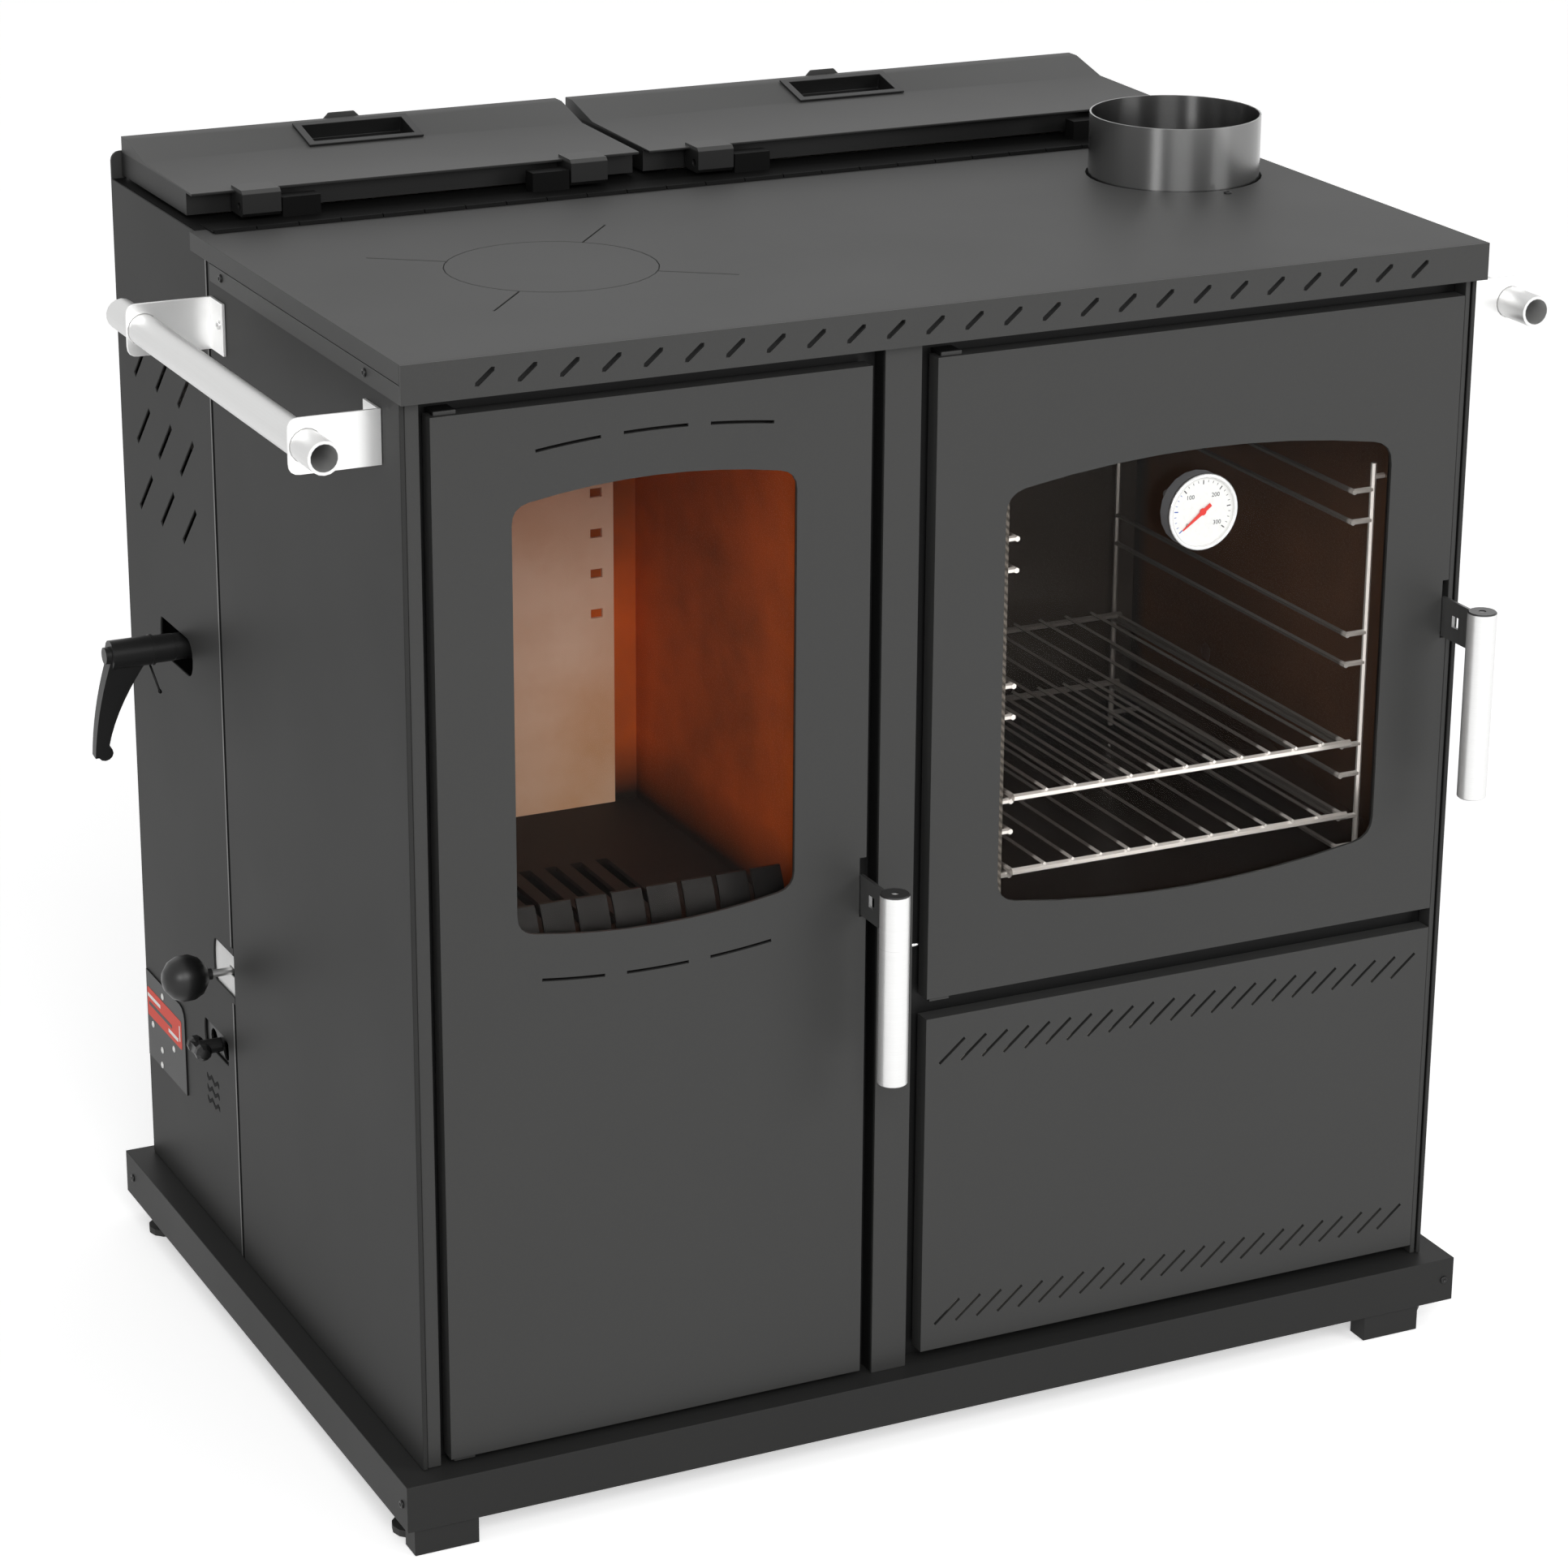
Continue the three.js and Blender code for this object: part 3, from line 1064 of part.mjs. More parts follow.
// Doors: everything is built round the hinge line, which is the group's origin
function doorParts(name, door, window, handleBottom, mouthEdges) {
  const hinge = hingeLine(door);
  const edges = { left: door.left, right: door.right, bottom: door.bottom, top: door.top };
  const middle = (door.left + door.right) / 2;
  const holes = [bowedWindow(middle, window)];
  if (window.slots) {
    for (
      const [level, way] of [
        [window.top + window.bow + ARC_SLOT.above, 1],
        [window.bottom - window.bow - ARC_SLOT.below, -1],
      ]
    ) {
      for (const k of [-1, 0, 1]) holes.push(arcSlot(middle, k, window.width, level, way));
    }
  }
  const plateX = door.right - HANDLE.fromEdge;
  const pivotZ = handleBottom + HANDLE.height / 2;
  const notch = block(
    [plateX - HANDLE.sheet / 2 - NOTCH.side, door.right + OVERRUN],
    [FRONT.face - OVERRUN, FRONT.face + FRONT.depth + OVERRUN],
    [handleBottom - NOTCH.below, handleBottom + HANDLE.height + NOTCH.above]
  );
  const blockRight = plateX - HANDLE.sheet / 2 - GAP;
  const pivotY = FRONT.face + PIVOT.setback;
  const carrier = block(
    [blockRight - PIVOT.blockLength, blockRight],
    [frontInside - FRONT.sheet / 2, FRONT.face + FRONT.depth - GAP],
    centred(pivotZ, PIVOT.blockHeight)
  );
  const pivotBore = rod(
    "x",
    PIVOT.radius + GAP,
    blockRight - PIVOT.blockLength - OVERRUN,
    blockRight + OVERRUN,
    [pivotY, pivotZ]
  );
  const pinBores = [door.bottom, door.top].map((z) =>
    rod("z", DOOR_PIN.radius + GAP, z - FRONT.sheet - OVERRUN, z + FRONT.sheet + OVERRUN, hinge)
  );
  const panel = cut(pan(edges, holes).add(carrier), [notch, pivotBore, ...pinBores]);

  const sight = {
    x: shrink(centred(middle, window.width), -INNER.sight),
    z: [window.bottom - window.bow, window.top + window.bow],
  };
  const glassX = shrink(centred(middle, window.width), -GLASS.overlap);
  const glassZ = shrink(sight.z, -GLASS.overlap);
  const glass = block(glassX, [frontInside + GAP, glassBack], glassZ);

  const innerX = [door.left + INNER.inset + DOOR_PIN.inset, door.right - INNER.latchSide];
  const innerZ = shrink([door.bottom, door.top], FRONT.sheet + GAP + DOOR_PIN.bite - INNER.inset);
  const opening = rectangle(...sight.x, ...shrink(sight.z, -INNER.sight));
  const sheet = alongY(withHoles(rectangle(...innerX, ...innerZ), [opening]), innerFront, innerBack);
  const lip = alongY(ringShape(innerX, innerZ, INNER.lip), frontInside + GAP, innerBack);

  const sealX = shrink([mouthEdges.left, mouthEdges.right], -SEAL.margin - SEAL.width);
  const sealZ = shrink([mouthEdges.bottom, mouthEdges.top], -SEAL.margin - SEAL.width);
  const seal = alongY(ringShape(sealX, sealZ, SEAL.width), innerBack + GAP, FRAME.front - GAP);
  return {
    panel,
    glass,
    inner: sheet.add(lip),
    seal,
    hinge,
    pivot: [plateX, pivotY, pivotZ],
    named: (part) => name + "_door_" + part,
  };
}

const hingeLine = (door) => [door.left + DOOR_PIN.inset, FRONT.face + DOOR_PIN.setback];

// Latch handle: a flat plate on a pivot pin, its nose inside the door and its outer end in a slit in the
// grip
function handle(name, [x, y, z], handleBottom) {
  const outerEnd = gripY - y + GAP;
  const low = handleBottom - z;
  const high = low + HANDLE.height;
  const face = FRONT.face - y;
  const shape = outline([
    [outerEnd, low], [face, low], [face, low + HANDLE.noseDrop],
    [HANDLE.nose - PIVOT.setback, low + HANDLE.noseDrop],
    [HANDLE.nose - PIVOT.setback, high - HANDLE.noseTop], [face, high], [outerEnd, high],
  ]);
  const windowY = [(outerEnd + GRIP.radius + face) / 2, HANDLE_WINDOW.width];
  const windowZ = centred((low + high) / 2, HANDLE_WINDOW.height);
  shape.holes.push(rectangle(...centred(...windowY), ...windowZ));
  const plateX = [-HANDLE.sheet / 2, HANDLE.sheet / 2];
  const plate = alongX(shape, ...plateX).add(rod("x", PIVOT.radius, -PIVOT.length, 0, [0, 0]));

  const top = high + GRIP.rise;
  const bottom = top - GRIP.length;
  const profile = [
    [0, bottom], [GRIP.radius - GRIP.edge, bottom], [GRIP.radius, bottom + GRIP.edge],
    [GRIP.radius, top - GRIP.edge],
    [GRIP.radius - GRIP.edge, top], [GRIP.socket, top], [GRIP.socket, top - GRIP.socketDepth],
    [0, top - GRIP.socketDepth],
  ];
  const gripPlace = [GRIP.aside, gripY - y];
  const bar = solid(
    new THREE.LatheGeometry(profile.map(([r, h]) => new THREE.Vector2(r, h)), ROUND.grip)
      .rotateX(Math.PI / 2)
      .translate(...gripPlace, 0)
  );
  const slit = block(
    [-HANDLE.sheet / 2 - GAP, HANDLE.sheet / 2 + GAP],
    [gripY - y, gripY - y + GRIP.radius + OVERRUN],
    [low - GAP, high + GAP]
  );
  return assembly(
    [
      piece(name + "_handle_plate", plate, LOOKS.brushed),
      piece(name + "_handle_grip", bar.subtract(slit), LOOKS.polished),
    ],
    [x, y, z]
  );
}

function door(name, edges, window, handleBottom, mouthEdges, fittings = []) {
  const parts = doorParts(name, edges, window, handleBottom, mouthEdges);
  const local = (body) => body.translate([-parts.hinge[0], -parts.hinge[1], 0]);
  const glass = fittings.length ? parts.glass.subtract(thermometerHole()) : parts.glass;
  const group = assembly(
    [
      piece(parts.named("panel"), local(parts.panel), LOOKS.paint),
      piece(parts.named("glass"), local(glass), LOOKS.glass),
      piece(parts.named("inner_frame"), local(parts.inner), LOOKS.heatSteel),
      piece(parts.named("seal"), local(parts.seal), LOOKS.rope),
    ],
    [...parts.hinge, 0]
  );
  const latch = handle(name, parts.pivot, handleBottom);
  for (const child of [latch, ...fittings]) {
    child.position.x -= parts.hinge[0];
    child.position.y -= parts.hinge[1];
    group.add(child);
  }
  return group;
}

// Pins that carry the doors, each on a small bracket that reaches forward from the front frame
function doorPins(weld) {
  return [FIRE, OVEN].flatMap((edges) => {
    const [x, y] = hingeLine(edges);
    const spanX = [x - DOOR_PIN.radius, x - DOOR_PIN.radius + DOOR_PIN.bracketWidth];
    const spanY = [y - DOOR_PIN.bracketFront, weld];
    const below = edges.bottom - GAP;
    const above = edges.top + GAP;
    return [
      block(spanX, spanY, [below - DOOR_PIN.bracket, below]),
      rod("z", DOOR_PIN.radius, below - DOOR_PIN.bracket, below + DOOR_PIN.bite, [x, y]),
      block(spanX, spanY, [above, above + DOOR_PIN.bracket]),
      rod("z", DOOR_PIN.radius, above - DOOR_PIN.bite, above + DOOR_PIN.bracket, [x, y]),
    ];
  });
}

// Dial thermometer: a case on the outside of the oven glass with its stem through the pane
const dialPlace = () => [
  (OVEN.left + OVEN.right) / 2 + DIAL.aside,
  frontInside,
  OVEN_WINDOW.top - DIAL.below,
];
const thermometerHole = () => {
  const [x, , z] = dialPlace();
  return rod("y", DIAL.stem + GAP * 2, frontInside - OVERRUN, glassBack + OVERRUN, [x, z]);
};

function thermometer() {
  const face = DIAL.depth - DIAL.recess;
  const inner = DIAL.radius - DIAL.bezel;
  const profile = [
    [0, 0], [DIAL.radius, 0], [DIAL.radius, DIAL.depth - DIAL.bezel / 2],
    [DIAL.radius - DIAL.bezel / 2, DIAL.depth],
    [inner, DIAL.depth], [inner, face], [0, face],
  ];
  const body = new THREE.LatheGeometry(profile.map(([r, h]) => new THREE.Vector2(r, h)), ROUND.grip);
  const behind = glassBack - frontInside + GAP;
  const stem = rod("y", DIAL.stem, -DIAL.bezel, DIAL.stemLength, [0, 0]);
  const nut = rod("y", DIAL_NUT.radius, behind, behind + DIAL_NUT.height, [0, 0], ROUND.wire);
  const dial = join([solid(body.rotateX(Math.PI)), stem, nut]);

  const turn = THREE.MathUtils.degToRad(POINTER.rest);
  const needle = outline([
    [-POINTER.tail, -POINTER.width / 2], [POINTER.hub, -POINTER.width / 2],
    [POINTER.length, -POINTER.tip / 2],
    [POINTER.length, POINTER.tip / 2], [POINTER.hub, POINTER.width / 2], [-POINTER.tail, POINTER.width / 2],
  ]);
  const nearDial = -face - GAP;
  const bar = alongY(needle, nearDial - GAP - POINTER.sheet, nearDial - GAP);
  const hub = rod("y", POINTER.hub, nearDial - GAP - POINTER.sheet, nearDial, [0, 0]);
  const pointer = piece("thermometer_pointer", join([bar, hub]), LOOKS.red);
  pointer.rotation.y = -turn;
  return assembly([piece("thermometer_case", dial, LOOKS.dial), pointer], dialPlace());
}

// Side rails and their brackets
function railTube(side) {
  const profile = [
    [RAIL.radius - RAIL.wall, RAIL.front], [RAIL.radius, RAIL.front], [RAIL.radius, RAIL.rear],
    [RAIL.radius - RAIL.wall, RAIL.rear], [RAIL.radius - RAIL.wall, RAIL.front],
  ];
  const tube = new THREE.LatheGeometry(profile.map(([r, h]) => new THREE.Vector2(r, h)), ROUND.tube);
  return solid(tube.translate(side * (sideFace + RAIL.out), 0, railLevel));
}

function railBracket(side, y, way) {
  const near = sideFace + GAP;
  const far = sideFace + RAIL.out + BRACKET.past;
  const [low, high] = centred(railLevel, BRACKET.height);
  const shape = new THREE.Shape();
  shape.moveTo(side * near, low);
  shape.lineTo(side * (far - BRACKET.corner), low);
  shape.quadraticCurveTo(side * far, low, side * far, low + BRACKET.corner);
  shape.lineTo(side * far, high - BRACKET.corner);
  shape.quadraticCurveTo(side * far, high, side * (far - BRACKET.corner), high);
  shape.lineTo(side * near, high);
  const arm = alongY(shape, ...[y, y + way * BRACKET.sheet].sort((a, b) => a - b));
  const spanY = [y, y + way * BRACKET.foot].sort((a, b) => a - b);
  const spanX = [side * near, side * (near + BRACKET.sheet)].sort((a, b) => a - b);
  const bore = rod(
    "y",
    RAIL.radius + BRACKET.bore,
    spanY[0] - OVERRUN,
    spanY[1] + OVERRUN,
    [side * (sideFace + RAIL.out), railLevel],
    ROUND.tube
  );
  return arm.add(block(spanX, spanY, [low, high])).subtract(bore);
}

function railBrackets() {
  const brackets = [];
  for (const [name, side] of [["left", -1], ["right", 1]]) {
    const front = railBracket(side, BRACKET.front, 1);
    const rear = railBracket(side, BRACKET.rear, -1);
    brackets.push(piece("rail_bracket_front_" + name, front, LOOKS.polished));
    brackets.push(piece("rail_bracket_rear_" + name, rear, LOOKS.polished));
  }
  return brackets;
}

// Left side controls, each built round its own axis
function gateControl() {
  const steps = [
    [LEVER.cap, LEVER.capLength], [LEVER.hub, LEVER.hubLength], [LEVER.ring, LEVER.ringLength],
    [LEVER.sleeve, LEVER.sleeveLength], [LEVER.groove, LEVER.grooveLength], [LEVER.boss, LEVER.bossLength],
  ];
  const tip = -rearSideFace + LEVER.bossLength - LEVER_IN - steps.reduce((sum, step) => sum + step[1], 0);
  const profile = [[0, 0]];
  let x = 0;
  for (const [radius, length] of steps) {
    profile.push([radius, x], [radius, x + length]);
    x += length;
  }
  profile.push([0, x]);
  const hub = solid(
    new THREE.LatheGeometry(
      profile.map(([r, h]) => new THREE.Vector2(r, h)),
      ROUND.tube
    ).rotateZ(-Math.PI / 2).translate(tip, 0, 0)
  );
  const lever = piece("gate_lever", hub.add(leverArm(tip)), LOOKS.plastic);
  lever.rotation.x = THREE.MathUtils.degToRad(LEVER_REST);
  const start = tip + x + GAP;
  const shaft = rod("x", GATE.shaft, start, neckSpan[1] + BIN.sheet + GATE.flapSide, [0, 0]);
  const flap = block(
    shrink(neckSpan, GATE.flapSide),
    centred(0, GATE.flap),
    [-GATE.flapHalf, GATE.flapHalf]
  );
  return assembly([lever, piece("gate_shaft", shaft.add(flap), LOOKS.heatSteel)], [0, GATE.y, gateLevel]);
}

// Curved arm that fills the hub's length at its root and narrows to a hooked toe
function leverArm(tip) {
  const sections = [];
  for (let i = 0; i <= LEVER_ARM.steps; i++) {
    const share = i / LEVER_ARM.steps;
    const left = 1 - share;
    const outer = tip + LEVER.capLength - LEVER_ARM.lean * (1 - left * left);
    const spare = (LEVER.hubLength - LEVER_ARM.thickness) * Math.pow(left, LEVER_ARM.taper);
    sections.push({
      x: [outer, outer + LEVER_ARM.thickness + spare],
      y: centred(0, LEVER_ARM.width * (1 - (1 - LEVER_ARM.tipShare) * share)),
      z: -share * LEVER_ARM.drop,
    });
  }
  const last = sections[sections.length - 1];
  const hook = rod(
    "y",
    LEVER_ARM.toe,
    ...last.y,
    [(last.x[0] + last.x[1]) / 2 + LEVER_ARM.toe / 2, last.z + LEVER_ARM.toe / 2]
  );
  return loft(sections.reverse()).add(hook);
}

function shakerControl() {
  const burnerRight = neckSpan[1] - BURNER.sheet - BURNER_GRATE.side;
  const grateX = [burnerRight - BURNER_GRATE.length, burnerRight];
  const ballX = -(rearSideFace + SHAKER.out);
  const ball = solid(
    new THREE.SphereGeometry(
      SHAKER.ball,
      ROUND.ball,
      ROUND.ball / 2
    ).rotateZ(Math.PI / 2).translate(ballX, 0, 0)
  );
  const neckEnd = ballX + SHAKER.ball + SHAKER.neckLength;
  const knob = ball.add(rod("x", SHAKER.neck, ballX, neckEnd, [0, 0]));
  const bar = rod("x", SHAKER.rod, neckEnd + GAP, grateX[0] + BURNER_GRATE.slotMargin / 2, [0, 0]);
  const back = fireboxBack;
  const spanY = shrink(
    [back, back + BURNER.depth - BURNER.sheet],
    BURNER_GRATE.side
  ).map((y) => y - shakerY);
  const shape = rectangle(...grateX, ...spanY);
  const room = shrink(grateX, BURNER_GRATE.slotMargin);
  const pitch = (room[1] - room[0]) / BURNER_GRATE.slots;
  for (let i = 0; i < BURNER_GRATE.slots; i++) {
    shape.holes.push(
      rectangle(
        ...centred(room[0] + pitch * (i + 0.5), BURNER_GRATE.slot),
        ...shrink(spanY, BURNER_GRATE.slotMargin)
      )
    );
  }
  const grate = alongZ(shape, -BURNER_GRATE.thickness / 2, BURNER_GRATE.thickness / 2);
  return assembly(
    [
      piece("shaker_knob", knob, LOOKS.plastic),
      piece("shaker_grate", grate.add(bar), LOOKS.castIron),
    ],
    [0, shakerY, shakerLevel]
  );
}

// Air control: a winged knob outside and a ported disc that turns behind the side panel
function airControl() {
  const face = -rearSideFace;
  const inside = face + BODY.sheet + GAP;
  const discX = [inside, inside + AIR_DISC.sheet];
  const disc = rod("x", AIR.disc, ...discX, [0, 0], ROUND.tube);
  const ports = [-1, 1].map((way) =>
    rod("x", AIR_DISC.port, discX[0] - OVERRUN, discX[1] + OVERRUN, [way * AIR.disc * AIR_DISC.portShare, 0])
  );
  const tip = face - AIR.hubLength;
  const half = AIR.lobeApart / 2;
  const middle = tip + AIR.wingDepth / 2;
  const lobes = [-half, half].map((y) =>
    solid(new THREE.SphereGeometry(AIR.lobe, ROUND.lobe, ROUND.lobe / 2).translate(middle, y, 0))
  );
  const knob = join([
    ...lobes,
    block([tip, tip + AIR.wingDepth], [-half, half], centred(0, AIR.web)),
    rod("x", AIR.hub, middle, face + BODY.sheet, [0, 0], ROUND.foot),
    rod("x", AIR.shaft, face, discX[1], [0, 0]),
    cut(disc, ports),
  ]);
  return assembly([piece("air_knob", knob, LOOKS.plastic)], [0, AIR.y, airLevel]);
}

// The whole stove
function stove() {
  const group = assembly(
    [
      ...base(),
      piece("side_front_left", frontSide(-1), LOOKS.paint),
      piece("side_front_right", frontSide(1), LOOKS.paint),
      piece("side_rear_left", rearSide(-1), LOOKS.paint),
      piece("side_rear_right", rearSide(1), LOOKS.paint),
      piece("back_panel", backPanel(), LOOKS.paint),
      ...posts(),
      piece("front_frame", frontFrame(), LOOKS.heatSteel),
      piece("apron", apron(), LOOKS.paint),
      piece("cooktop", cooktop(), LOOKS.topPaint),
      piece("hopper_deck", hopperDeck(), LOOKS.paint),
      piece("hopper_left", hopperLeft(), LOOKS.zinc),
      piece("hopper_right", hopperRight(), LOOKS.zinc),
      piece("firebox_shell", fireboxShell(), LOOKS.heatSteel),
      piece("firebox_back_plate", backPlate(), LOOKS.zinc),
      piece("log_guard", logGuard(), LOOKS.castIron),
      piece("ash_pan", ashPan(), LOOKS.zinc),
      piece("oven_box", ovenBox(), LOOKS.enamel),
      piece("oven_ladder_left", ladder(-1), LOOKS.chrome),
      piece("oven_ladder_right", ladder(1), LOOKS.chrome),
      piece("oven_rack_upper", rack(ladderLevels[2]), LOOKS.chrome),
      piece("oven_rack_lower", rack(ladderLevels[3]), LOOKS.chrome),
      piece("rail_left", railTube(-1), LOOKS.tube),
      piece("rail_right", railTube(1), LOOKS.tube),
      ...railBrackets(),
    ],
    [0, -centreY, 0]
  );
  group.add(
    flueCollar(),
    hotplate(),
    lid("left", LIDS.left),
    lid("right", LIDS.right),
    door("fire", FIRE, FIRE_WINDOW, fireHandleBottom, FIRE_MOUTH),
    door("oven", OVEN, OVEN_WINDOW, ovenHandleBottom, OVEN_MOUTH, [thermometer()]),
    drawer(),
    gateControl(),
    shakerControl(),
    airControl()
  );
  return group;
}

export default stove();
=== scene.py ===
"""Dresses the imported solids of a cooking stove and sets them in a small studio."""

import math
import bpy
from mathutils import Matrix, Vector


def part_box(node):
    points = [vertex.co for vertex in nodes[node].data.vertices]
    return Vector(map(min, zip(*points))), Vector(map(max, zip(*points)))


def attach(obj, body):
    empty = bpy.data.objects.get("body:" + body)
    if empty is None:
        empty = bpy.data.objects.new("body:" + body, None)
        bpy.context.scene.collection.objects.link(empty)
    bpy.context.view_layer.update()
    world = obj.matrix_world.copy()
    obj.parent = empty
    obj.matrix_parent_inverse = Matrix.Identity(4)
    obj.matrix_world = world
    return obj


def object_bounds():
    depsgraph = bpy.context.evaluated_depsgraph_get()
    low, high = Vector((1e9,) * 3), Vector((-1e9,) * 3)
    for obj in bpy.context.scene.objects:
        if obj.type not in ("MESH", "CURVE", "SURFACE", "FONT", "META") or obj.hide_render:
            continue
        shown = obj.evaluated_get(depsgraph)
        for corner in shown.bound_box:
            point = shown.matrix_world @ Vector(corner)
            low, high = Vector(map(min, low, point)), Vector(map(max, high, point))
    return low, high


bl_info = {
    "name": "Pellet and wood stove",
    "version": (1, 0, 0),
    "blender": (4, 5, 0),
    "location": "View3D > Sidebar > Stove",
    "description": "Finishes, small fittings and studio for a pellet and wood cooking stove",
    "category": "Object",
}

import bmesh
import bpy
from bpy.props import (
    FloatProperty,
    FloatVectorProperty,
    IntProperty,
    PointerProperty,
)
from mathutils import Euler, Matrix, Vector

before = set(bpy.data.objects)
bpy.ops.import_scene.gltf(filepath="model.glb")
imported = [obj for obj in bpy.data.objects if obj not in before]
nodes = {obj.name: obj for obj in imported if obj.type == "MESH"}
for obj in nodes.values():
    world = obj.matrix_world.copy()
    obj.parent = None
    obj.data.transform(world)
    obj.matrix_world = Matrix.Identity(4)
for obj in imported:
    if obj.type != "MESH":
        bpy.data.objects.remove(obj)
cad_box = [list(corner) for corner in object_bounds()]

MM = 0.001
BASE_FRONT_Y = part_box("plinth")[0].y
LEFT, RIGHT = (-1.0, 0.0, 0.0), (1.0, 0.0, 0.0)
FRONT, BACK = (0.0, -1.0, 0.0), (0.0, 1.0, 0.0)
DOWN, UP = (0.0, 0.0, -1.0), (0.0, 0.0, 1.0)


def at(x, y, z):
    """A point given in millimetres, with y measured back from the front of the base."""
    return Vector((x * MM, y * MM + BASE_FRONT_Y, z * MM))


# Settings that a user would change


class StovePaintSettings(bpy.types.PropertyGroup):
    body_colour: FloatVectorProperty(
        name="Body colour", description="Powder coat of the casing, doors and drawer",
        subtype="COLOR", size=3, min=0, max=1, default=(0.04, 0.04, 0.039),
    )
    top_colour: FloatVectorProperty(
        name="Top colour", description="Heat-proof paint of the cooktop and lids",
        subtype="COLOR", size=3, min=0, max=1, default=(0.05, 0.05, 0.049),
    )
    grain_size: FloatProperty(
        name="Grain size", description="Width of one pip of the powder coat's texture",
        subtype="DISTANCE", unit="LENGTH", default=0.0011,
    )
    grain_depth: FloatProperty(
        name="Grain depth", description="How far the texture of the coat stands out",
        subtype="DISTANCE", unit="LENGTH", default=0.00003,
    )
    edge_radius: FloatProperty(
        name="Edge radius", description="Rounding of the folded and cut sheet edges",
        subtype="DISTANCE", unit="LENGTH", default=0.0009,
    )


class StoveMetalSettings(bpy.types.PropertyGroup):
    steel_colour: FloatVectorProperty(
        name="Steel colour", description="Bare stainless steel",
        subtype="COLOR", size=3, min=0, max=1, default=(0.62, 0.62, 0.615),
    )
    line_pitch: FloatProperty(
        name="Brush line pitch", description="Distance between the lines of the brushed finish",
        subtype="DISTANCE", unit="LENGTH", default=0.0008,
    )
    # The orange of the chamber colour is painted firelight: it stands in for the glow of a fire on
    # the firebox steel.
    chamber_colour: FloatVectorProperty(
        name="Chamber colour", description="Heat-stained steel with painted firelight inside the firebox",
        subtype="COLOR", size=3, min=0, max=1, default=(0.75, 0.15, 0.02),
    )
    enamel_colour: FloatVectorProperty(
        name="Enamel colour", description="Enamel inside the oven",
        subtype="COLOR", size=3, min=0, max=1, default=(0.12, 0.06, 0.035),
    )
    glass_tint: FloatVectorProperty(
        name="Glass tint", description="Colour of the heat-proof glass",
        subtype="COLOR", size=3, min=0, max=1, default=(0.98, 0.955, 0.93),
    )


class StoveFittingSettings(bpy.types.PropertyGroup):
    screw_radius: FloatProperty(
        name="Screw radius", description="Radius of the head of a casing screw",
        subtype="DISTANCE", unit="LENGTH", default=0.0036,
    )
    screw_height: FloatProperty(
        name="Screw height", description="Height of the head of a casing screw",
        subtype="DISTANCE", unit="LENGTH", default=0.0016,
    )
    dial_top: IntProperty(
        name="Top of the dial", description="Highest number on the thermometer", default=300,
    )
    plate_colour: FloatVectorProperty(
        name="Plate field colour", description="Plain field on the riveted side plate",
        subtype="COLOR", size=3, min=0, max=1, default=(0.8, 0.065, 0.035),
    )


class StoveStudioSettings(bpy.types.PropertyGroup):
    camera_place: FloatVectorProperty(
        name="Camera place", description="Where the camera stands",
        subtype="TRANSLATION", unit="LENGTH", size=3, default=(-1.656, -3.39825, 1.851),
    )
    azimuth: FloatProperty(
        name="Azimuth", description="Turn of the view about the upright axis",
        subtype="ANGLE", unit="ROTATION", default=math.radians(-25.92),
    )
    elevation: FloatProperty(
        name="Elevation", description="Height of the view above the horizon",
        subtype="ANGLE", unit="ROTATION", default=math.radians(19.94),
    )
    roll: FloatProperty(
        name="Roll", description="Tilt of the view about its own axis",
        subtype="ANGLE", unit="ROTATION", default=math.radians(0.38),
    )
    lens: FloatProperty(
        name="Lens", description="Focal length of the camera in millimetres", default=105.1,
    )
    sky: FloatProperty(
        name="Sky", description="Strength of the even light from all round", default=0.5,
    )
    key: FloatProperty(
        name="Key light", description="Power of the large soft light", subtype="POWER",
        unit="POWER", default=110.0,
    )


# Nodes and shared effects

COLOUR, NUMBER, VECTOR = "NodeSocketColor", "NodeSocketFloat", "NodeSocketVector"
GEOMETRY = "NodeSocketGeometry"


def link(tree, source, target):
    tree.links.new(source, target)


def add_node(tree, kind, **values):
    node = tree.nodes.new(kind)
    for name, value in values.items():
        setattr(node, name, value)
    return node


def new_group(name, inputs, outputs, kind="ShaderNodeTree"):
    """A node group with inputs as (name, kind, default) and outputs as (name, kind)."""
    tree = bpy.data.node_groups.new(name, kind)
    for label, socket_kind, default in inputs:
        socket = tree.interface.new_socket(name=label, in_out="INPUT", socket_type=socket_kind)
        if default is not None:
            socket.default_value = default
    for label, socket_kind in outputs:
        tree.interface.new_socket(name=label, in_out="OUTPUT", socket_type=socket_kind)
    return tree, tree.nodes.new("NodeGroupInput"), tree.nodes.new("NodeGroupOutput")


def math_node(tree, operation, first, second, clamp=False):
    node = add_node(tree, "ShaderNodeMath", operation=operation, use_clamp=clamp)
    for socket, value in zip(node.inputs, (first, second)):
        if isinstance(value, (int, float)):
            socket.default_value = value
        else:
            link(tree, value, socket)
    return node.outputs[0]


def mix_colour(tree, factor, first, second):
    node = add_node(tree, "ShaderNodeMix", data_type="RGBA")
    colours = [s for s in node.inputs if s.type == "RGBA"]
    for socket, value in ((node.inputs[0], factor), (colours[0], first), (colours[1], second)):
        if hasattr(value, "is_linked"):
            link(tree, value, socket)
        else:
            socket.default_value = value
    return [s for s in node.outputs if s.type == "RGBA"][0]


def object_place(tree):
    return add_node(tree, "ShaderNodeTexCoord").outputs["Object"]


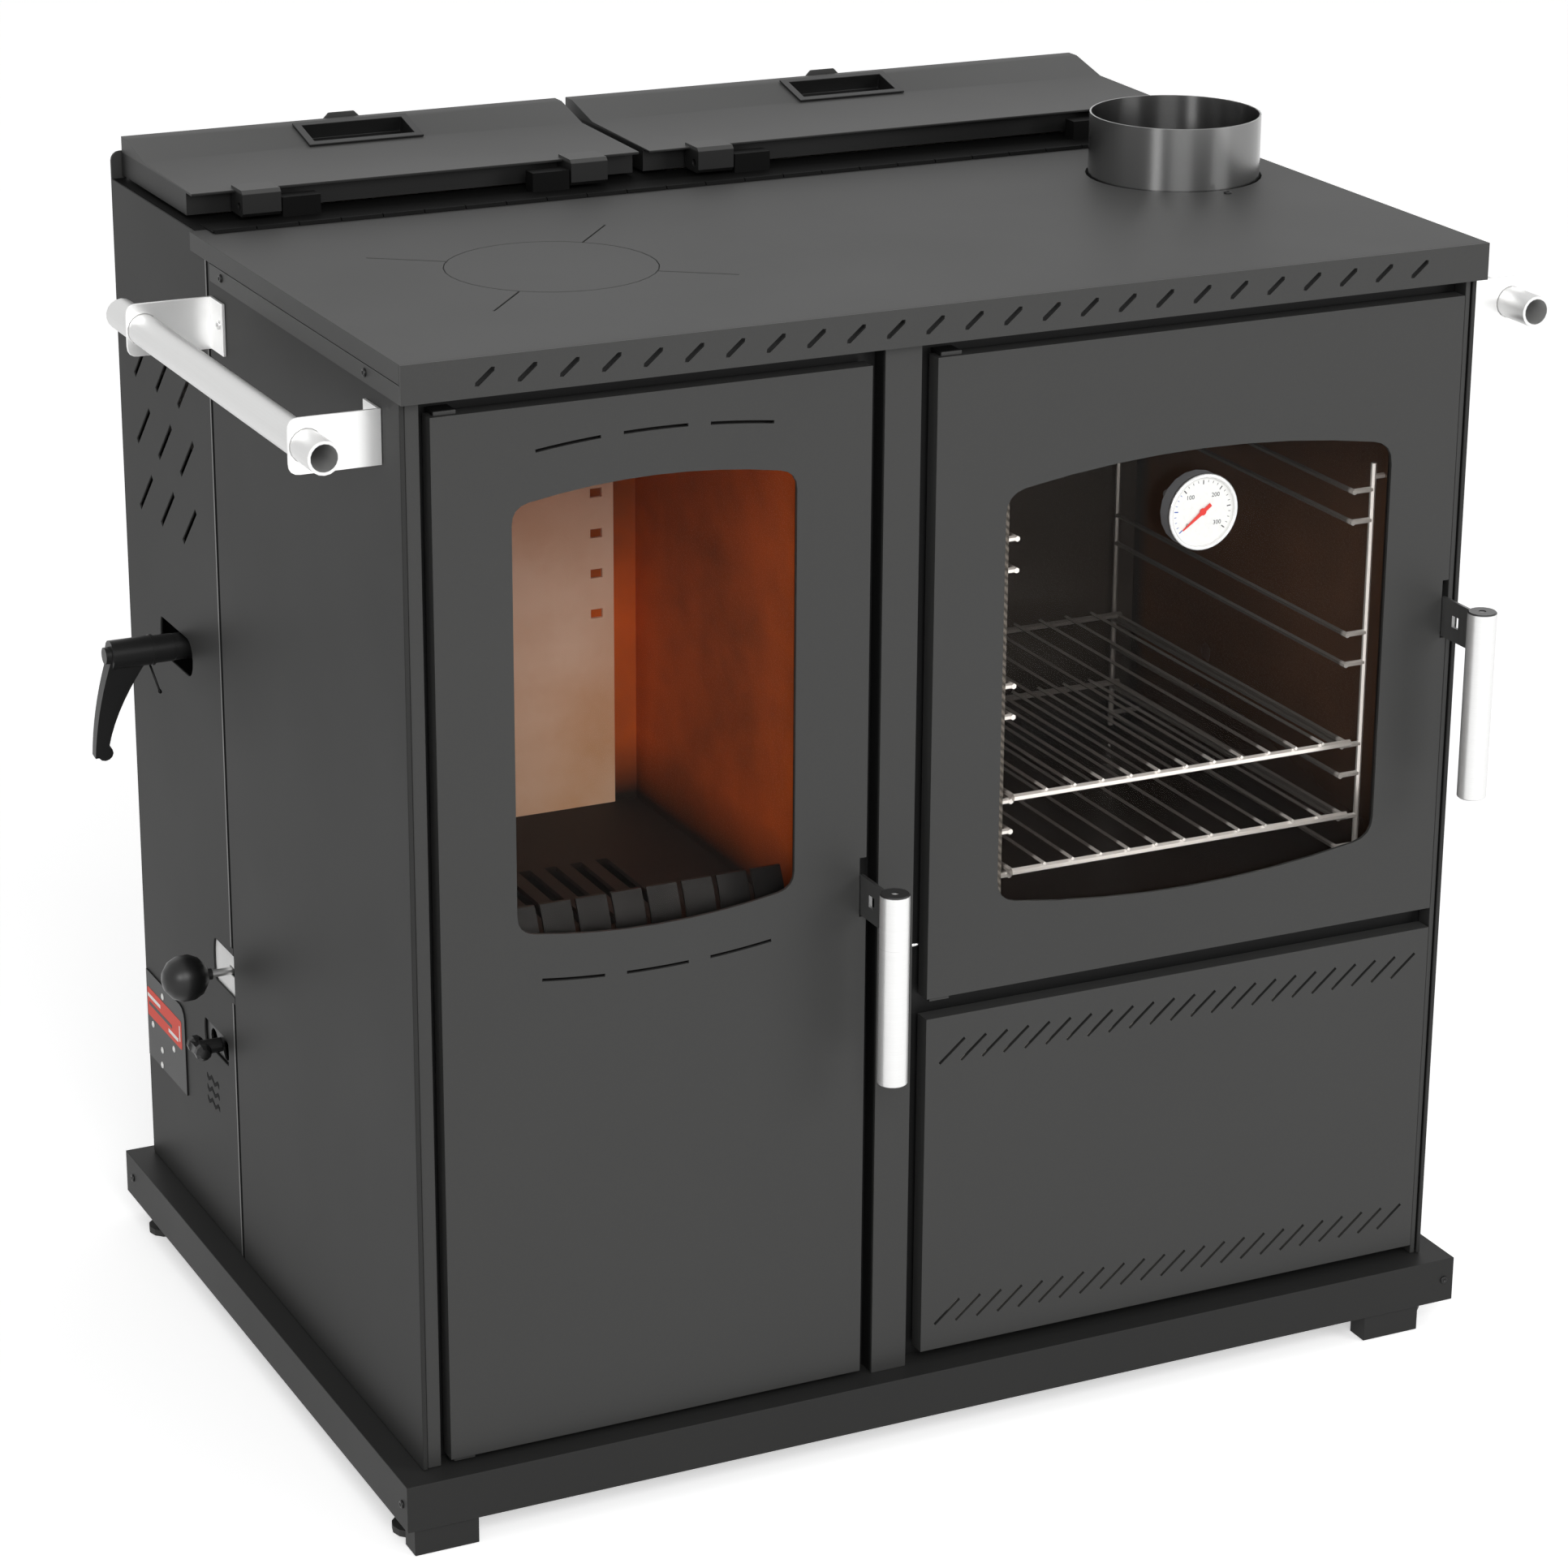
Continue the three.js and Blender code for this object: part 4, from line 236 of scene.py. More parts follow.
def noise(tree, place, scale, detail, roughness=0.5):
    """A noise texture, whose scale is a number or comes from a socket."""
    node = add_node(tree, "ShaderNodeTexNoise")
    node.inputs["Detail"].default_value = detail
    node.inputs["Roughness"].default_value = roughness
    link(tree, place, node.inputs["Vector"])
    if isinstance(scale, float):
        node.inputs["Scale"].default_value = scale
    else:
        link(tree, scale, node.inputs["Scale"])
    return node.outputs[0]


def swing(tree, source, amount):
    """Moves a value between 0 and 1 to both sides of nought, and scales it."""
    return math_node(tree, "MULTIPLY", math_node(tree, "SUBTRACT", source, 0.5), amount)


def shaded(tree, colour, value):
    """A colour made lighter or darker."""
    node = add_node(tree, "ShaderNodeHueSaturation")
    link(tree, value, node.inputs["Value"])
    link(tree, colour, node.inputs["Color"])
    return node.outputs[0]


def sprayed_coat_group():
    """Fine pips and slow shade changes of a sprayed or powder-coated surface."""
    tree, inside, outside = new_group(
        "Sprayed coat",
        [("Colour", COLOUR, (0.05, 0.05, 0.05, 1)), ("Pip Scale", NUMBER, 900.0),
         ("Shade", NUMBER, 0.12), ("Roughness", NUMBER, 0.5)],
        [("Colour", COLOUR), ("Roughness", NUMBER), ("Height", NUMBER)],
    )
    slow_scale, pip_shade, gloss_share = 5.0, 0.15, 0.8
    place = object_place(tree)
    pips = noise(tree, place, inside.outputs["Pip Scale"], detail=2.0)
    slow = swing(tree, noise(tree, place, slow_scale, detail=4.0), inside.outputs["Shade"])
    value = math_node(tree, "ADD", slow, 1.0)
    value = math_node(tree, "ADD", value, swing(tree, pips, pip_shade))
    rough = math_node(tree, "MULTIPLY", slow, gloss_share)
    rough = math_node(tree, "ADD", rough, inside.outputs["Roughness"])
    link(tree, shaded(tree, inside.outputs["Colour"], value), outside.inputs["Colour"])
    link(tree, rough, outside.inputs["Roughness"])
    link(tree, pips, outside.inputs["Height"])
    return tree


def brushed_lines_group():
    """Long fine lines of a brushed or turned metal, stretched along chosen axes."""
    tree, inside, outside = new_group(
        "Brushed lines",
        [("Colour", COLOUR, (0.6, 0.6, 0.6, 1)), ("Stretch", VECTOR, (4.0, 4.0, 900.0)),
         ("Contrast", NUMBER, 0.16), ("Roughness", NUMBER, 0.28)],
        [("Colour", COLOUR), ("Roughness", NUMBER), ("Height", NUMBER)],
    )
    stretched = add_node(tree, "ShaderNodeVectorMath", operation="MULTIPLY")
    link(tree, object_place(tree), stretched.inputs[0])
    link(tree, inside.outputs["Stretch"], stretched.inputs[1])
    lines = noise(tree, stretched.outputs[0], 1.0, detail=3.0)
    uneven = swing(tree, lines, inside.outputs["Contrast"])
    value = math_node(tree, "ADD", uneven, 1.0)
    rough = math_node(tree, "ADD", uneven, inside.outputs["Roughness"])
    link(tree, shaded(tree, inside.outputs["Colour"], value), outside.inputs["Colour"])
    link(tree, rough, outside.inputs["Roughness"])
    link(tree, lines, outside.inputs["Height"])
    return tree


def soot_group():
    """Uneven darkening by soot and heat."""
    tree, inside, outside = new_group(
        "Soot and heat stain",
        [("Colour", COLOUR, (0.1, 0.1, 0.1, 1)), ("Stain", COLOUR, (0.02, 0.018, 0.016, 1)),
         ("Scale", NUMBER, 7.0), ("Amount", NUMBER, 0.7)],
        [("Colour", COLOUR)],
    )
    patches = noise(tree, object_place(tree), inside.outputs["Scale"], detail=6.0, roughness=0.6)
    spread = add_node(tree, "ShaderNodeMapRange")
    spread.inputs["From Min"].default_value = 0.36
    spread.inputs["From Max"].default_value = 0.66
    link(tree, patches, spread.inputs["Value"])
    mask = math_node(tree, "MULTIPLY", spread.outputs[0], inside.outputs["Amount"])
    colour = mix_colour(tree, mask, inside.outputs["Colour"], inside.outputs["Stain"])
    link(tree, colour, outside.inputs["Colour"])
    return tree


def level_group():
    """Mask of the part of a piece that lies past a level along one axis."""
    tree, inside, outside = new_group(
        "Past a level",
        [("Axis", VECTOR, (0.0, 0.0, 1.0)), ("Level", NUMBER, 0.0), ("Fade", NUMBER, 0.001)],
        [("Mask", NUMBER)],
    )
    along = add_node(tree, "ShaderNodeVectorMath", operation="DOT_PRODUCT")
    link(tree, object_place(tree), along.inputs[0])
    link(tree, inside.outputs["Axis"], along.inputs[1])
    beyond = math_node(tree, "SUBTRACT", along.outputs["Value"], inside.outputs["Level"])
    share = math_node(tree, "DIVIDE", beyond, inside.outputs["Fade"])
    link(tree, math_node(tree, "ADD", share, 0.5, clamp=True), outside.inputs["Mask"])
    return tree


GROUP_MAKERS = {
    "coat": sprayed_coat_group,
    "lines": brushed_lines_group,
    "soot": soot_group,
    "level": level_group,
}
groups_made = {}


def shared(name):
    """A shared effect, made the first time that a material asks for it."""
    if name not in groups_made:
        groups_made[name] = GROUP_MAKERS[name]()
    return groups_made[name]


# Materials

NO_GRAIN = (90.0, 90.0, 90.0)  # stretch of a metal that is not brushed one way


def opaque(colour):
    return (*colour, 1.0)


def grey(level):
    return (level, level, level)


def tinted(colour, share):
    """A colour made lighter or darker by a share."""
    return [share * c for c in colour]


class Finish:
    """A material with one shader, to which shared effects are added."""

    def __init__(self, name, **sockets):
        self.material = bpy.data.materials.new(name)
        self.material.use_nodes = True
        self.tree = self.material.node_tree
        self.shader = self.tree.nodes["Principled BSDF"]
        for label, value in sockets.items():
            label = label.replace("_", " ").title().replace("Ior", "IOR")
            self.shader.inputs[label].default_value = value

    def effect(self, name, **values):
        node = add_node(self.tree, "ShaderNodeGroup", node_tree=shared(name))
        for label, value in values.items():
            node.inputs[label.replace("_", " ").title()].default_value = value
        return node

    def beyond(self, source, changes):
        """Changes a colour past some levels, each given as (axis, level, fade, colour)."""
        for axis, level, fade, colour in changes:
            mask = self.effect("level", axis=axis, level=level, fade=fade)
            source = mix_colour(self.tree, mask.outputs[0], source, opaque(colour))
        return source

    def feed(self, source, label):
        link(self.tree, source, self.shader.inputs[label])

    def bump(self, height, distance, strength=0.5):
        node = add_node(self.tree, "ShaderNodeBump")
        node.inputs["Strength"].default_value = strength
        node.inputs["Distance"].default_value = distance
        link(self.tree, height, node.inputs["Height"])
        self.feed(node.outputs[0], "Normal")


def coated(
    name, colour, roughness, pip_scale=900.0, depth=0.01 * MM, shade=0.1, changes=(), **sockets
):
    """A sprayed or moulded coat with fine pips."""
    finish = Finish(name, **sockets)
    coat = finish.effect(
        "coat", colour=opaque(colour), pip_scale=pip_scale, shade=shade, roughness=roughness,
    )
    finish.feed(finish.beyond(coat.outputs["Colour"], changes), "Base Color")
    finish.feed(coat.outputs["Roughness"], "Roughness")
    finish.bump(coat.outputs["Height"], depth)
    return finish.material


def brushed(name, share, stretch, roughness, contrast, changes=(), metallic=1.0, **sockets):
    """Bare steel with fine lines, lighter or darker than the steel colour by a share."""
    finish = Finish(name, metallic=metallic, **sockets)
    steel = bpy.context.scene.stove_metal.steel_colour
    lines = finish.effect(
        "lines", colour=opaque(tinted(steel, share)), stretch=stretch, roughness=roughness,
        contrast=contrast,
    )
    finish.feed(finish.beyond(lines.outputs["Colour"], changes), "Base Color")
    finish.feed(lines.outputs["Roughness"], "Roughness")
    finish.bump(lines.outputs["Height"], 0.01 * MM, strength=0.3)
    return finish


def stained(name, colour, stain, scale, amount, roughness, changes=(), **sockets):
    """Sheet or cast metal with uneven heat stain and soot."""
    finish = Finish(name, **sockets)
    soot = finish.effect(
        "soot", colour=opaque(colour), stain=opaque(stain), scale=scale, amount=amount,
    )
    finish.feed(finish.beyond(soot.outputs["Colour"], changes), "Base Color")
    coat = finish.effect("coat", pip_scale=160.0, shade=0.2, roughness=roughness)
    finish.feed(coat.outputs["Roughness"], "Roughness")
    return finish


def glazing(tint):
    """Heat-proof glass that lets lamp light through to the chamber behind it."""
    finish = Finish("Heat-proof glass", transmission_weight=1.0, ior=1.08, roughness=0.0)
    coat = finish.effect("coat", colour=opaque(tint), pip_scale=4.0, shade=0.04)
    finish.feed(coat.outputs["Colour"], "Base Color")
    tree = finish.tree
    clear = add_node(tree, "ShaderNodeBsdfTransparent")
    clear.inputs["Color"].default_value = opaque(tint)
    path = add_node(tree, "ShaderNodeLightPath").outputs
    lamp_rays = math_node(tree, "ADD", path["Is Shadow Ray"], path["Is Diffuse Ray"], clamp=True)
    mix = add_node(tree, "ShaderNodeMixShader")
    link(tree, lamp_rays, mix.inputs[0])
    link(tree, finish.shader.outputs[0], mix.inputs[1])
    link(tree, clear.outputs[0], mix.inputs[2])
    link(tree, mix.outputs[0], tree.nodes["Material Output"].inputs["Surface"])
    return finish.material


def braided_rope():
    finish = Finish("Braided door rope", roughness=0.95)
    valley, strand = (0.05, 0.047, 0.043), (0.16, 0.15, 0.135)
    waves = add_node(finish.tree, "ShaderNodeTexWave", bands_direction="DIAGONAL")
    waves.inputs["Scale"].default_value = 90.0
    waves.inputs["Distortion"].default_value = 1.5
    link(finish.tree, object_place(finish.tree), waves.inputs["Vector"])
    shade = mix_colour(finish.tree, waves.outputs["Fac"], opaque(valley), opaque(strand))
    finish.feed(shade, "Base Color")
    finish.bump(waves.outputs["Fac"], 0.6 * MM, strength=0.8)
    return finish.material


# Modifiers for the carried-over solids


def tidy_edges_group():
    """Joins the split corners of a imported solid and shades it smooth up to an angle."""
    tree, inside, outside = new_group(
        "Join and smooth",
        [("Geometry", GEOMETRY, None), ("Angle", NUMBER, math.radians(28))],
        [("Geometry", GEOMETRY)],
        kind="GeometryNodeTree",
    )
    drop = add_node(tree, "GeometryNodeRemoveAttribute")
    drop.inputs["Name"].default_value = "custom_normal"
    join = add_node(tree, "GeometryNodeMergeByDistance")
    join.inputs["Distance"].default_value = 0.01 * MM
    edges = add_node(tree, "GeometryNodeInputMeshEdgeAngle")
    below = add_node(tree, "FunctionNodeCompare", data_type="FLOAT", operation="LESS_THAN")
    faces = add_node(tree, "GeometryNodeSetShadeSmooth", domain="FACE")
    creases = add_node(tree, "GeometryNodeSetShadeSmooth", domain="EDGE")
    link(tree, inside.outputs["Geometry"], drop.inputs["Geometry"])
    link(tree, drop.outputs[0], join.inputs["Geometry"])
    link(tree, join.outputs[0], faces.inputs["Geometry"])
    link(tree, faces.outputs[0], creases.inputs["Geometry"])
    link(tree, edges.outputs["Unsigned Angle"], below.inputs[0])
    link(tree, inside.outputs["Angle"], below.inputs[1])
    link(tree, below.outputs[0], creases.inputs["Shade Smooth"])
    link(tree, creases.outputs[0], outside.inputs["Geometry"])
    return tree


def dress(name, material, edge=0.0):
    """Gives a carried-over solid its material, smooth shading and rounded edges."""
    solid = nodes[name]
    solid.data.materials.clear()
    solid.data.materials.append(material)
    tidy = solid.modifiers.new("Join and smooth", "NODES")
    tidy.node_group = bpy.data.node_groups.get("Join and smooth") or tidy_edges_group()
    if edge > 0:
        flat = solid.modifiers.new("Whole faces", "DECIMATE")
        flat.decimate_type = "DISSOLVE"
        flat.angle_limit = math.radians(0.5)
        bevel = solid.modifiers.new("Rounded edges", "BEVEL")
        bevel.width = edge
        bevel.segments = 2
        bevel.limit_method = "ANGLE"
        bevel.angle_limit = math.radians(40)
        bevel.harden_normals = True


def dress_all(names, material, edge=0.0):
    for name in names:
        dress(name, material, edge)


def named(*beginnings):
    """Names of the solids that begin in one of these ways."""
    return [name for name in nodes if name.startswith(beginnings)]


# New small pieces


def add_piece(name, mesh, material, body):
    """Puts a mesh into the scene as a piece that rides on a body of the stove."""
    mesh.materials.clear()
    mesh.materials.append(material)
    piece = bpy.data.objects.new(name, mesh)
    bpy.context.scene.collection.objects.link(piece)
    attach(piece, body)


def new_piece(name, mesh_maker, material, body):
    """A piece whose mesh is made with bmesh."""
    bm = bmesh.new()
    mesh_maker(bm)
    bmesh.ops.recalc_face_normals(bm, faces=bm.faces)
    mesh = bpy.data.meshes.new(name)
    bm.to_mesh(mesh)
    bm.free()
    add_piece(name, mesh, material, body)


def millimetres(*points):
    """Flat points that are given in millimetres."""
    return [(a * MM, b * MM) for a, b in points]


def rectangle(low, high, bottom, top):
    return [(low, bottom), (high, bottom), (high, top), (low, top)]


def rounded_rectangle(width, height, radius, steps=4):
    points = []
    for x, y, start in ((width - radius, height - radius, 0), (radius, height - radius, 90),
                        (radius, radius, 180), (width - radius, radius, 270)):
        for i in range(steps + 1):
            turn = math.radians(start + 90 * i / steps)
            points.append((x + radius * math.cos(turn), y + radius * math.sin(turn)))
    return points


def turned(bm, profile, place, direction, steps):
    """A turned solid from (radius, height) points, which may start and end on its axis."""
    facing = Vector(UP).rotation_difference(Vector(direction)).to_matrix().to_4x4()
    matrix = Matrix.Translation(place) @ facing
    rings = []
    for radius, height in profile:
        if radius == 0:
            rings.append([bm.verts.new(matrix @ Vector((0, 0, height)))])
            continue
        ring = []
        for i in range(steps):
            turn = 2 * math.pi * i / steps
            point = Vector((radius * math.cos(turn), radius * math.sin(turn), height))
            ring.append(bm.verts.new(matrix @ point))
        rings.append(ring)
    for low, high in zip(rings, rings[1:]):
        for i in range(steps):
            j = (i + 1) % steps
            if len(low) == 1:
                face = (low[0], high[i], high[j])
            elif len(high) == 1:
                face = (low[i], high[0], low[j])
            else:
                face = (low[i], high[i], high[j], low[j])
            bm.faces.new(face).smooth = True


def drawn_out(bm, outline, place, across, up, depth):
    """A flat outline in two directions, drawn out along the third."""
    out = across.cross(up).normalized() * depth
    low = [bm.verts.new(place + across * a + up * b) for a, b in outline]
    high = [bm.verts.new(v.co + out) for v in low]
    bm.faces.new(low[::-1])
    bm.faces.new(high)
    for i in range(len(low)):
        j = (i + 1) % len(low)
        bm.faces.new((low[i], low[j], high[j], high[i]))


def raised(bm, outline, x, height):
    """An outline in (y, z), drawn out to the left from x, all in millimetres."""
    outline = [(-y, z) for y, z in outline]
    drawn_out(bm, outline, at(x, 0, 0), Vector(FRONT) * MM, Vector(UP) * MM, height * MM)


# Operators: one for each group of like pieces, and one for the stage


class PaintCasing(bpy.types.Operator):
    """Powder coat on the casing, doors and drawer front, and heat-proof paint on the top"""

    bl_idname = "stove.paint_casing"
    bl_label = "Paint the casing"

    def execute(self, context):
        paint = context.scene.stove_paint
        body, edge = paint.body_colour, paint.edge_radius
        grain = {"pip_scale": 1 / paint.grain_size, "depth": paint.grain_depth, "shade": 0.12}
        # Painted shade: the front frame is painted near-black from just behind the doors' face, so
        # the gaps round the doors read dark.
        painted_shade_behind_doors = (BACK, at(0, 24, 0).y, 0.001, grey(0.008))
        # Painted shade: the lids are painted darker below 1011.5 mm, so their front flanges read as
        # in shade.
        lid_flange_shade = (DOWN, -at(0, 0, 1011.5).z, 0.001, tinted(body, 0.18))
        powder = coated("Powder coat", body, 0.47, **grain, specular_ior_level=0.24)
        # Painted shade: the side panels carry the body's powder coat made darker and less glossy,
        # so the sides read darker than the front.
        sides = coated("Side panel coat, painted shade", tinted(body, 0.72), 0.5, **grain, specular_ior_level=0.11)
        base = coated("Base tray coat", tinted(body, 0.52), 0.5, **grain, specular_ior_level=0.16)
        framing = coated(
            "Frame coat", body, 0.47, **grain, changes=[painted_shade_behind_doors], specular_ior_level=0.24,
        )
        top = coated(
            "Top paint", tinted(paint.top_colour, 0.9), 0.52, **grain, specular_ior_level=0.24,
        )
        lids = coated(
            "Lid paint", paint.top_colour, 0.5, **grain, changes=[lid_flange_shade],
            specular_ior_level=0.28,
        )
        # Painted shade: the hopper deck under the lids gets the body coat at a tenth of its
        # lightness and little gloss, so the recess under the lids reads black.
        shaded_deck = coated("Deck coat, painted shade", tinted(body, 0.1), 0.6, **grain, specular_ior_level=0.06)
        dress_all(
            ["back_panel", "post_left", "post_right", "apron", "fire_door_panel", "oven_door_panel",
             "drawer_front"],
            powder, edge,
        )
        dress("hopper_deck", shaded_deck, edge)
        dress_all(named("side_"), sides, edge)
        dress("plinth", base, edge)
        dress("front_frame", framing, edge)
        dress_all(["cooktop", "hotplate_disc"], top, edge)
        dress_all(["hopper_lid_left", "hopper_lid_right"], lids, edge)
        return {"FINISHED"}


class FinishBrightwork(bpy.types.Operator):
    """Brushed collar, turned grips, bright brackets, satin rails and chromed oven wires"""

    bl_idname = "stove.finish_brightwork"
    bl_label = "Finish the bright steel"

    def execute(self, context):
        fine, sheet_edge = 1 / context.scene.stove_metal.line_pitch, 0.3 * MM
        collar = brushed(
            "Brushed collar steel", 0.37, stretch=(3.0, 3.0, fine), roughness=0.22, contrast=0.03,
            anisotropic=0.85, anisotropic_rotation=0.25,
        )
        around = add_node(collar.tree, "ShaderNodeTangent", direction_type="RADIAL", axis="Z")
        collar.feed(around.outputs[0], "Tangent")
        dress("flue_collar", collar.material)
        for name in ("fire_handle_grip", "oven_handle_grip"):
            dark_end = (UP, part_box(name)[1].z - 1.2 * MM, 0.6 * MM, grey(0.06))
            grip = brushed(
                "Turned steel, " + name, 1.25, stretch=(6.0, 6.0, fine * 1.4), roughness=0.3,
                contrast=0.1, changes=[dark_end], metallic=0.55,
            )
            dress(name, grip.material)
        sheet = brushed(
            "Polished bracket steel", 1.55, stretch=(40.0, fine, 20.0), roughness=0.32,
            contrast=0.08, metallic=0.65,
        )
        tube = brushed(
            "Satin rail tube", 1.15, stretch=(fine, 6.0, fine), roughness=0.42, contrast=0.08,
            metallic=0.8,
        )
        plate = brushed(
            "Handle plate steel", 0.42, stretch=(fine, fine * 0.4, 12.0), roughness=0.4,
            contrast=0.2,
        )
        wires = named("oven_ladder", "oven_rack")
        front = min(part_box(name)[0].y for name in wires)
        # Painted shade: the wires are painted dark from 18 mm behind their front edge, deeper in
        # the oven.
        wire_shade_in_oven = (BACK, front + 18 * MM, 4 * MM, (0.22, 0.21, 0.2))
        wire = brushed(
            "Chromed wire", 1.5, stretch=NO_GRAIN, roughness=0.25, contrast=0.05, changes=[wire_shade_in_oven],
            metallic=0.45,
        )
        dress_all(["rail_left", "rail_right"], tube.material)
        dress_all(named("rail_bracket"), sheet.material, sheet_edge)
        dress_all(["fire_handle_plate", "oven_handle_plate"], plate.material, sheet_edge)
        dress_all(wires, wire.material)
        return {"FINISHED"}


class FinishChambers(bpy.types.Operator):
    """Firebox steel with painted firelight and heat stain, cast guard, enamelled oven with painted
    shade, and plain zinc sheet of the hidden pieces
    """

    bl_idname = "stove.finish_chambers"
    bl_label = "Finish the chambers"

    def execute(self, context):
        metal = context.scene.stove_metal
        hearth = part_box("log_guard")[0].z
        oven_low, oven_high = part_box("oven_box")
        # The chamber's steel is made nearly black towards the bottom, below about 35 mm above the
        # foot of the log guard, over a wide fade.
        darker_near_hearth = (DOWN, -hearth - 0.035, 0.06, (0.015, 0.011, 0.009))
        # Painted firelight: the orange chamber colour stands in for a fire's glow on the walls; the
        # soot patches over it are random heat stain.
        fire_glow_steel = stained(
            "Heat-stained steel with painted firelight", metal.chamber_colour, (0.06, 0.024, 0.012), scale=3.0, amount=0.8,
            roughness=0.6, changes=[darker_near_hearth], specular_ior_level=0.12,
        )
        warm = stained(
            "Heat-tinted plate", (0.85, 0.66, 0.52), (0.6, 0.33, 0.16), scale=4.0, amount=0.8,
            roughness=0.5, specular_ior_level=0.2,
        )
        iron = stained(
            "Cast iron", grey(0.006), grey(0.003), scale=30.0, amount=0.6, roughness=0.35,
            specular_ior_level=0.14,
        )
        frames = stained(
            "Door frame iron", (0.01, 0.009, 0.009), (0.006, 0.005, 0.005), scale=20.0, amount=0.5,
            roughness=0.6, specular_ior_level=0.15,
        )
        zinc = stained(
            "Zinc-coated sheet", (0.5, 0.47, 0.43), (0.3, 0.26, 0.21), scale=9.0, amount=0.5,
            roughness=0.42, metallic=0.35,
        )
        # Painted shade: the enamel is painted darker and greyer on the back wall and nearly black
        # towards the floor, deep in the oven.
        oven_back_shade = (BACK, oven_high.y - 0.02, 0.02, (0.05, 0.043, 0.038))
        oven_floor_shade = (DOWN, -oven_low.z - 0.06, 0.14, grey(0.004))
        enamel = stained(
            "Oven enamel", metal.enamel_colour, (0.02, 0.013, 0.01), scale=2.5, amount=0.7,
            roughness=0.24, changes=[oven_back_shade, oven_floor_shade],
        )
        bright_from, bright_fade = -at(-420, 0, 0).x, 4 * MM
        rod_end = (LEFT, bright_from, bright_fade, (0.75, 0.75, 0.74))
        rod = stained(
            "Cast grate with a bright rod", (0.016, 0.016, 0.017), (0.008, 0.007, 0.007),
            scale=30.0, amount=0.6, roughness=0.3, changes=[rod_end],
        )
        bright = rod.effect("level", axis=LEFT, level=bright_from, fade=bright_fade)
        rod.feed(bright.outputs[0], "Metallic")
        dress("firebox_shell", fire_glow_steel.material)
        dress_all(["fire_door_inner_frame", "oven_door_inner_frame", "gate_shaft"], frames.material)
        dress("log_guard", iron.material)
        dress("shaker_grate", rod.material)
        dress("firebox_back_plate", warm.material)
        dress_all(["ash_pan", "drawer_box", "hopper_left", "hopper_right"], zinc.material)
        dress("oven_box", enamel.material)
        return {"FINISHED"}


class GlazeDoors(bpy.types.Operator):
    """Glass and rope seals of the two doors"""

    bl_idname = "stove.glaze_doors"
    bl_label = "Glaze the doors"

    def execute(self, context):
        glass = glazing(context.scene.stove_metal.glass_tint)
        dress_all(["fire_door_glass", "oven_door_glass"], glass)
        dress_all(["fire_door_seal", "oven_door_seal"], braided_rope())
        return {"FINISHED"}


class FinishMouldings(bpy.types.Operator):
    """Black moulded levers, knobs, lid pockets and feet"""

    bl_idname = "stove.finish_mouldings"
    bl_label = "Finish the mouldings"

    def execute(self, context):
        black = coated(
            "Black moulding", grey(0.005), 0.4, pip_scale=700.0, shade=0.2, specular_ior_level=0.4,
        )
        rubber = coated(
            "Foot moulding", (0.02, 0.02, 0.019), 0.7, pip_scale=400.0, depth=0.08 * MM, shade=0.25,
        )
        dress_all(["gate_lever", "shaker_knob", "air_knob"], black)
        dress_all(["lid_grip_left", "lid_grip_right"], black, 0.5 * MM)
        dress_all(named("foot_"), rubber)
        return {"FINISHED"}


# Screws, each as (place in millimetres, direction of its head)
CASING_SCREWS = [
    ((-480, 85, 965), LEFT),
    ((-480, 412, 965), LEFT),
    ((480, 85, 965), RIGHT),
    ((480, 412, 965), RIGHT),
    ((379, 259.5, 988), UP),
    ((490, 0, 45), FRONT),
    ((-500, 12, 45), LEFT),
    ((-500, 700, 45), LEFT),
    ((500, 12, 45), RIGHT),
    ((500, 700, 45), RIGHT),
    *(((x, 707.7, z), BACK) for x in (-462, -155, 155, 462) for z in (90, 380, 660, 940)),
]
BRACKET_SCREWS = [((480.2 * side[0], y, 924), side) for side in (LEFT, RIGHT) for y in (80, 421)]


class AddScrews(bpy.types.Operator):
    """Small screws that hold the casing and the rail brackets"""

    bl_idname = "stove.add_screws"
    bl_label = "Add the screws"

    def execute(self, context):
        fittings = context.scene.stove_fittings
        radius, height, sunk = fittings.screw_radius, fittings.screw_height, -0.2 * MM
        profile = [
            (0, 0.4 * height), (0.42 * radius, 0.4 * height), (0.46 * radius, height),
            (0.78 * radius, height), (radius, 0.55 * height), (radius, sunk), (0, sunk),
        ]
        dark = coated(
            "Blackened screw", grey(0.016), 0.35, depth=0.02 * MM, shade=0.2, metallic=0.6,
        )
        bright = brushed(
            "Bracket screw steel", 1.0, stretch=NO_GRAIN, roughness=0.3, contrast=0.05,
        )

        def heads(screws):
            def maker(bm):
                for place, direction in screws:
                    turned(bm, profile, at(*place), direction, steps=12)
            return maker

        new_piece("casing_screws", heads(CASING_SCREWS), dark, "stove")
        new_piece(
            "bracket_screws", heads(BRACKET_SCREWS), bright.material, "stove",
        )
        return {"FINISHED"}


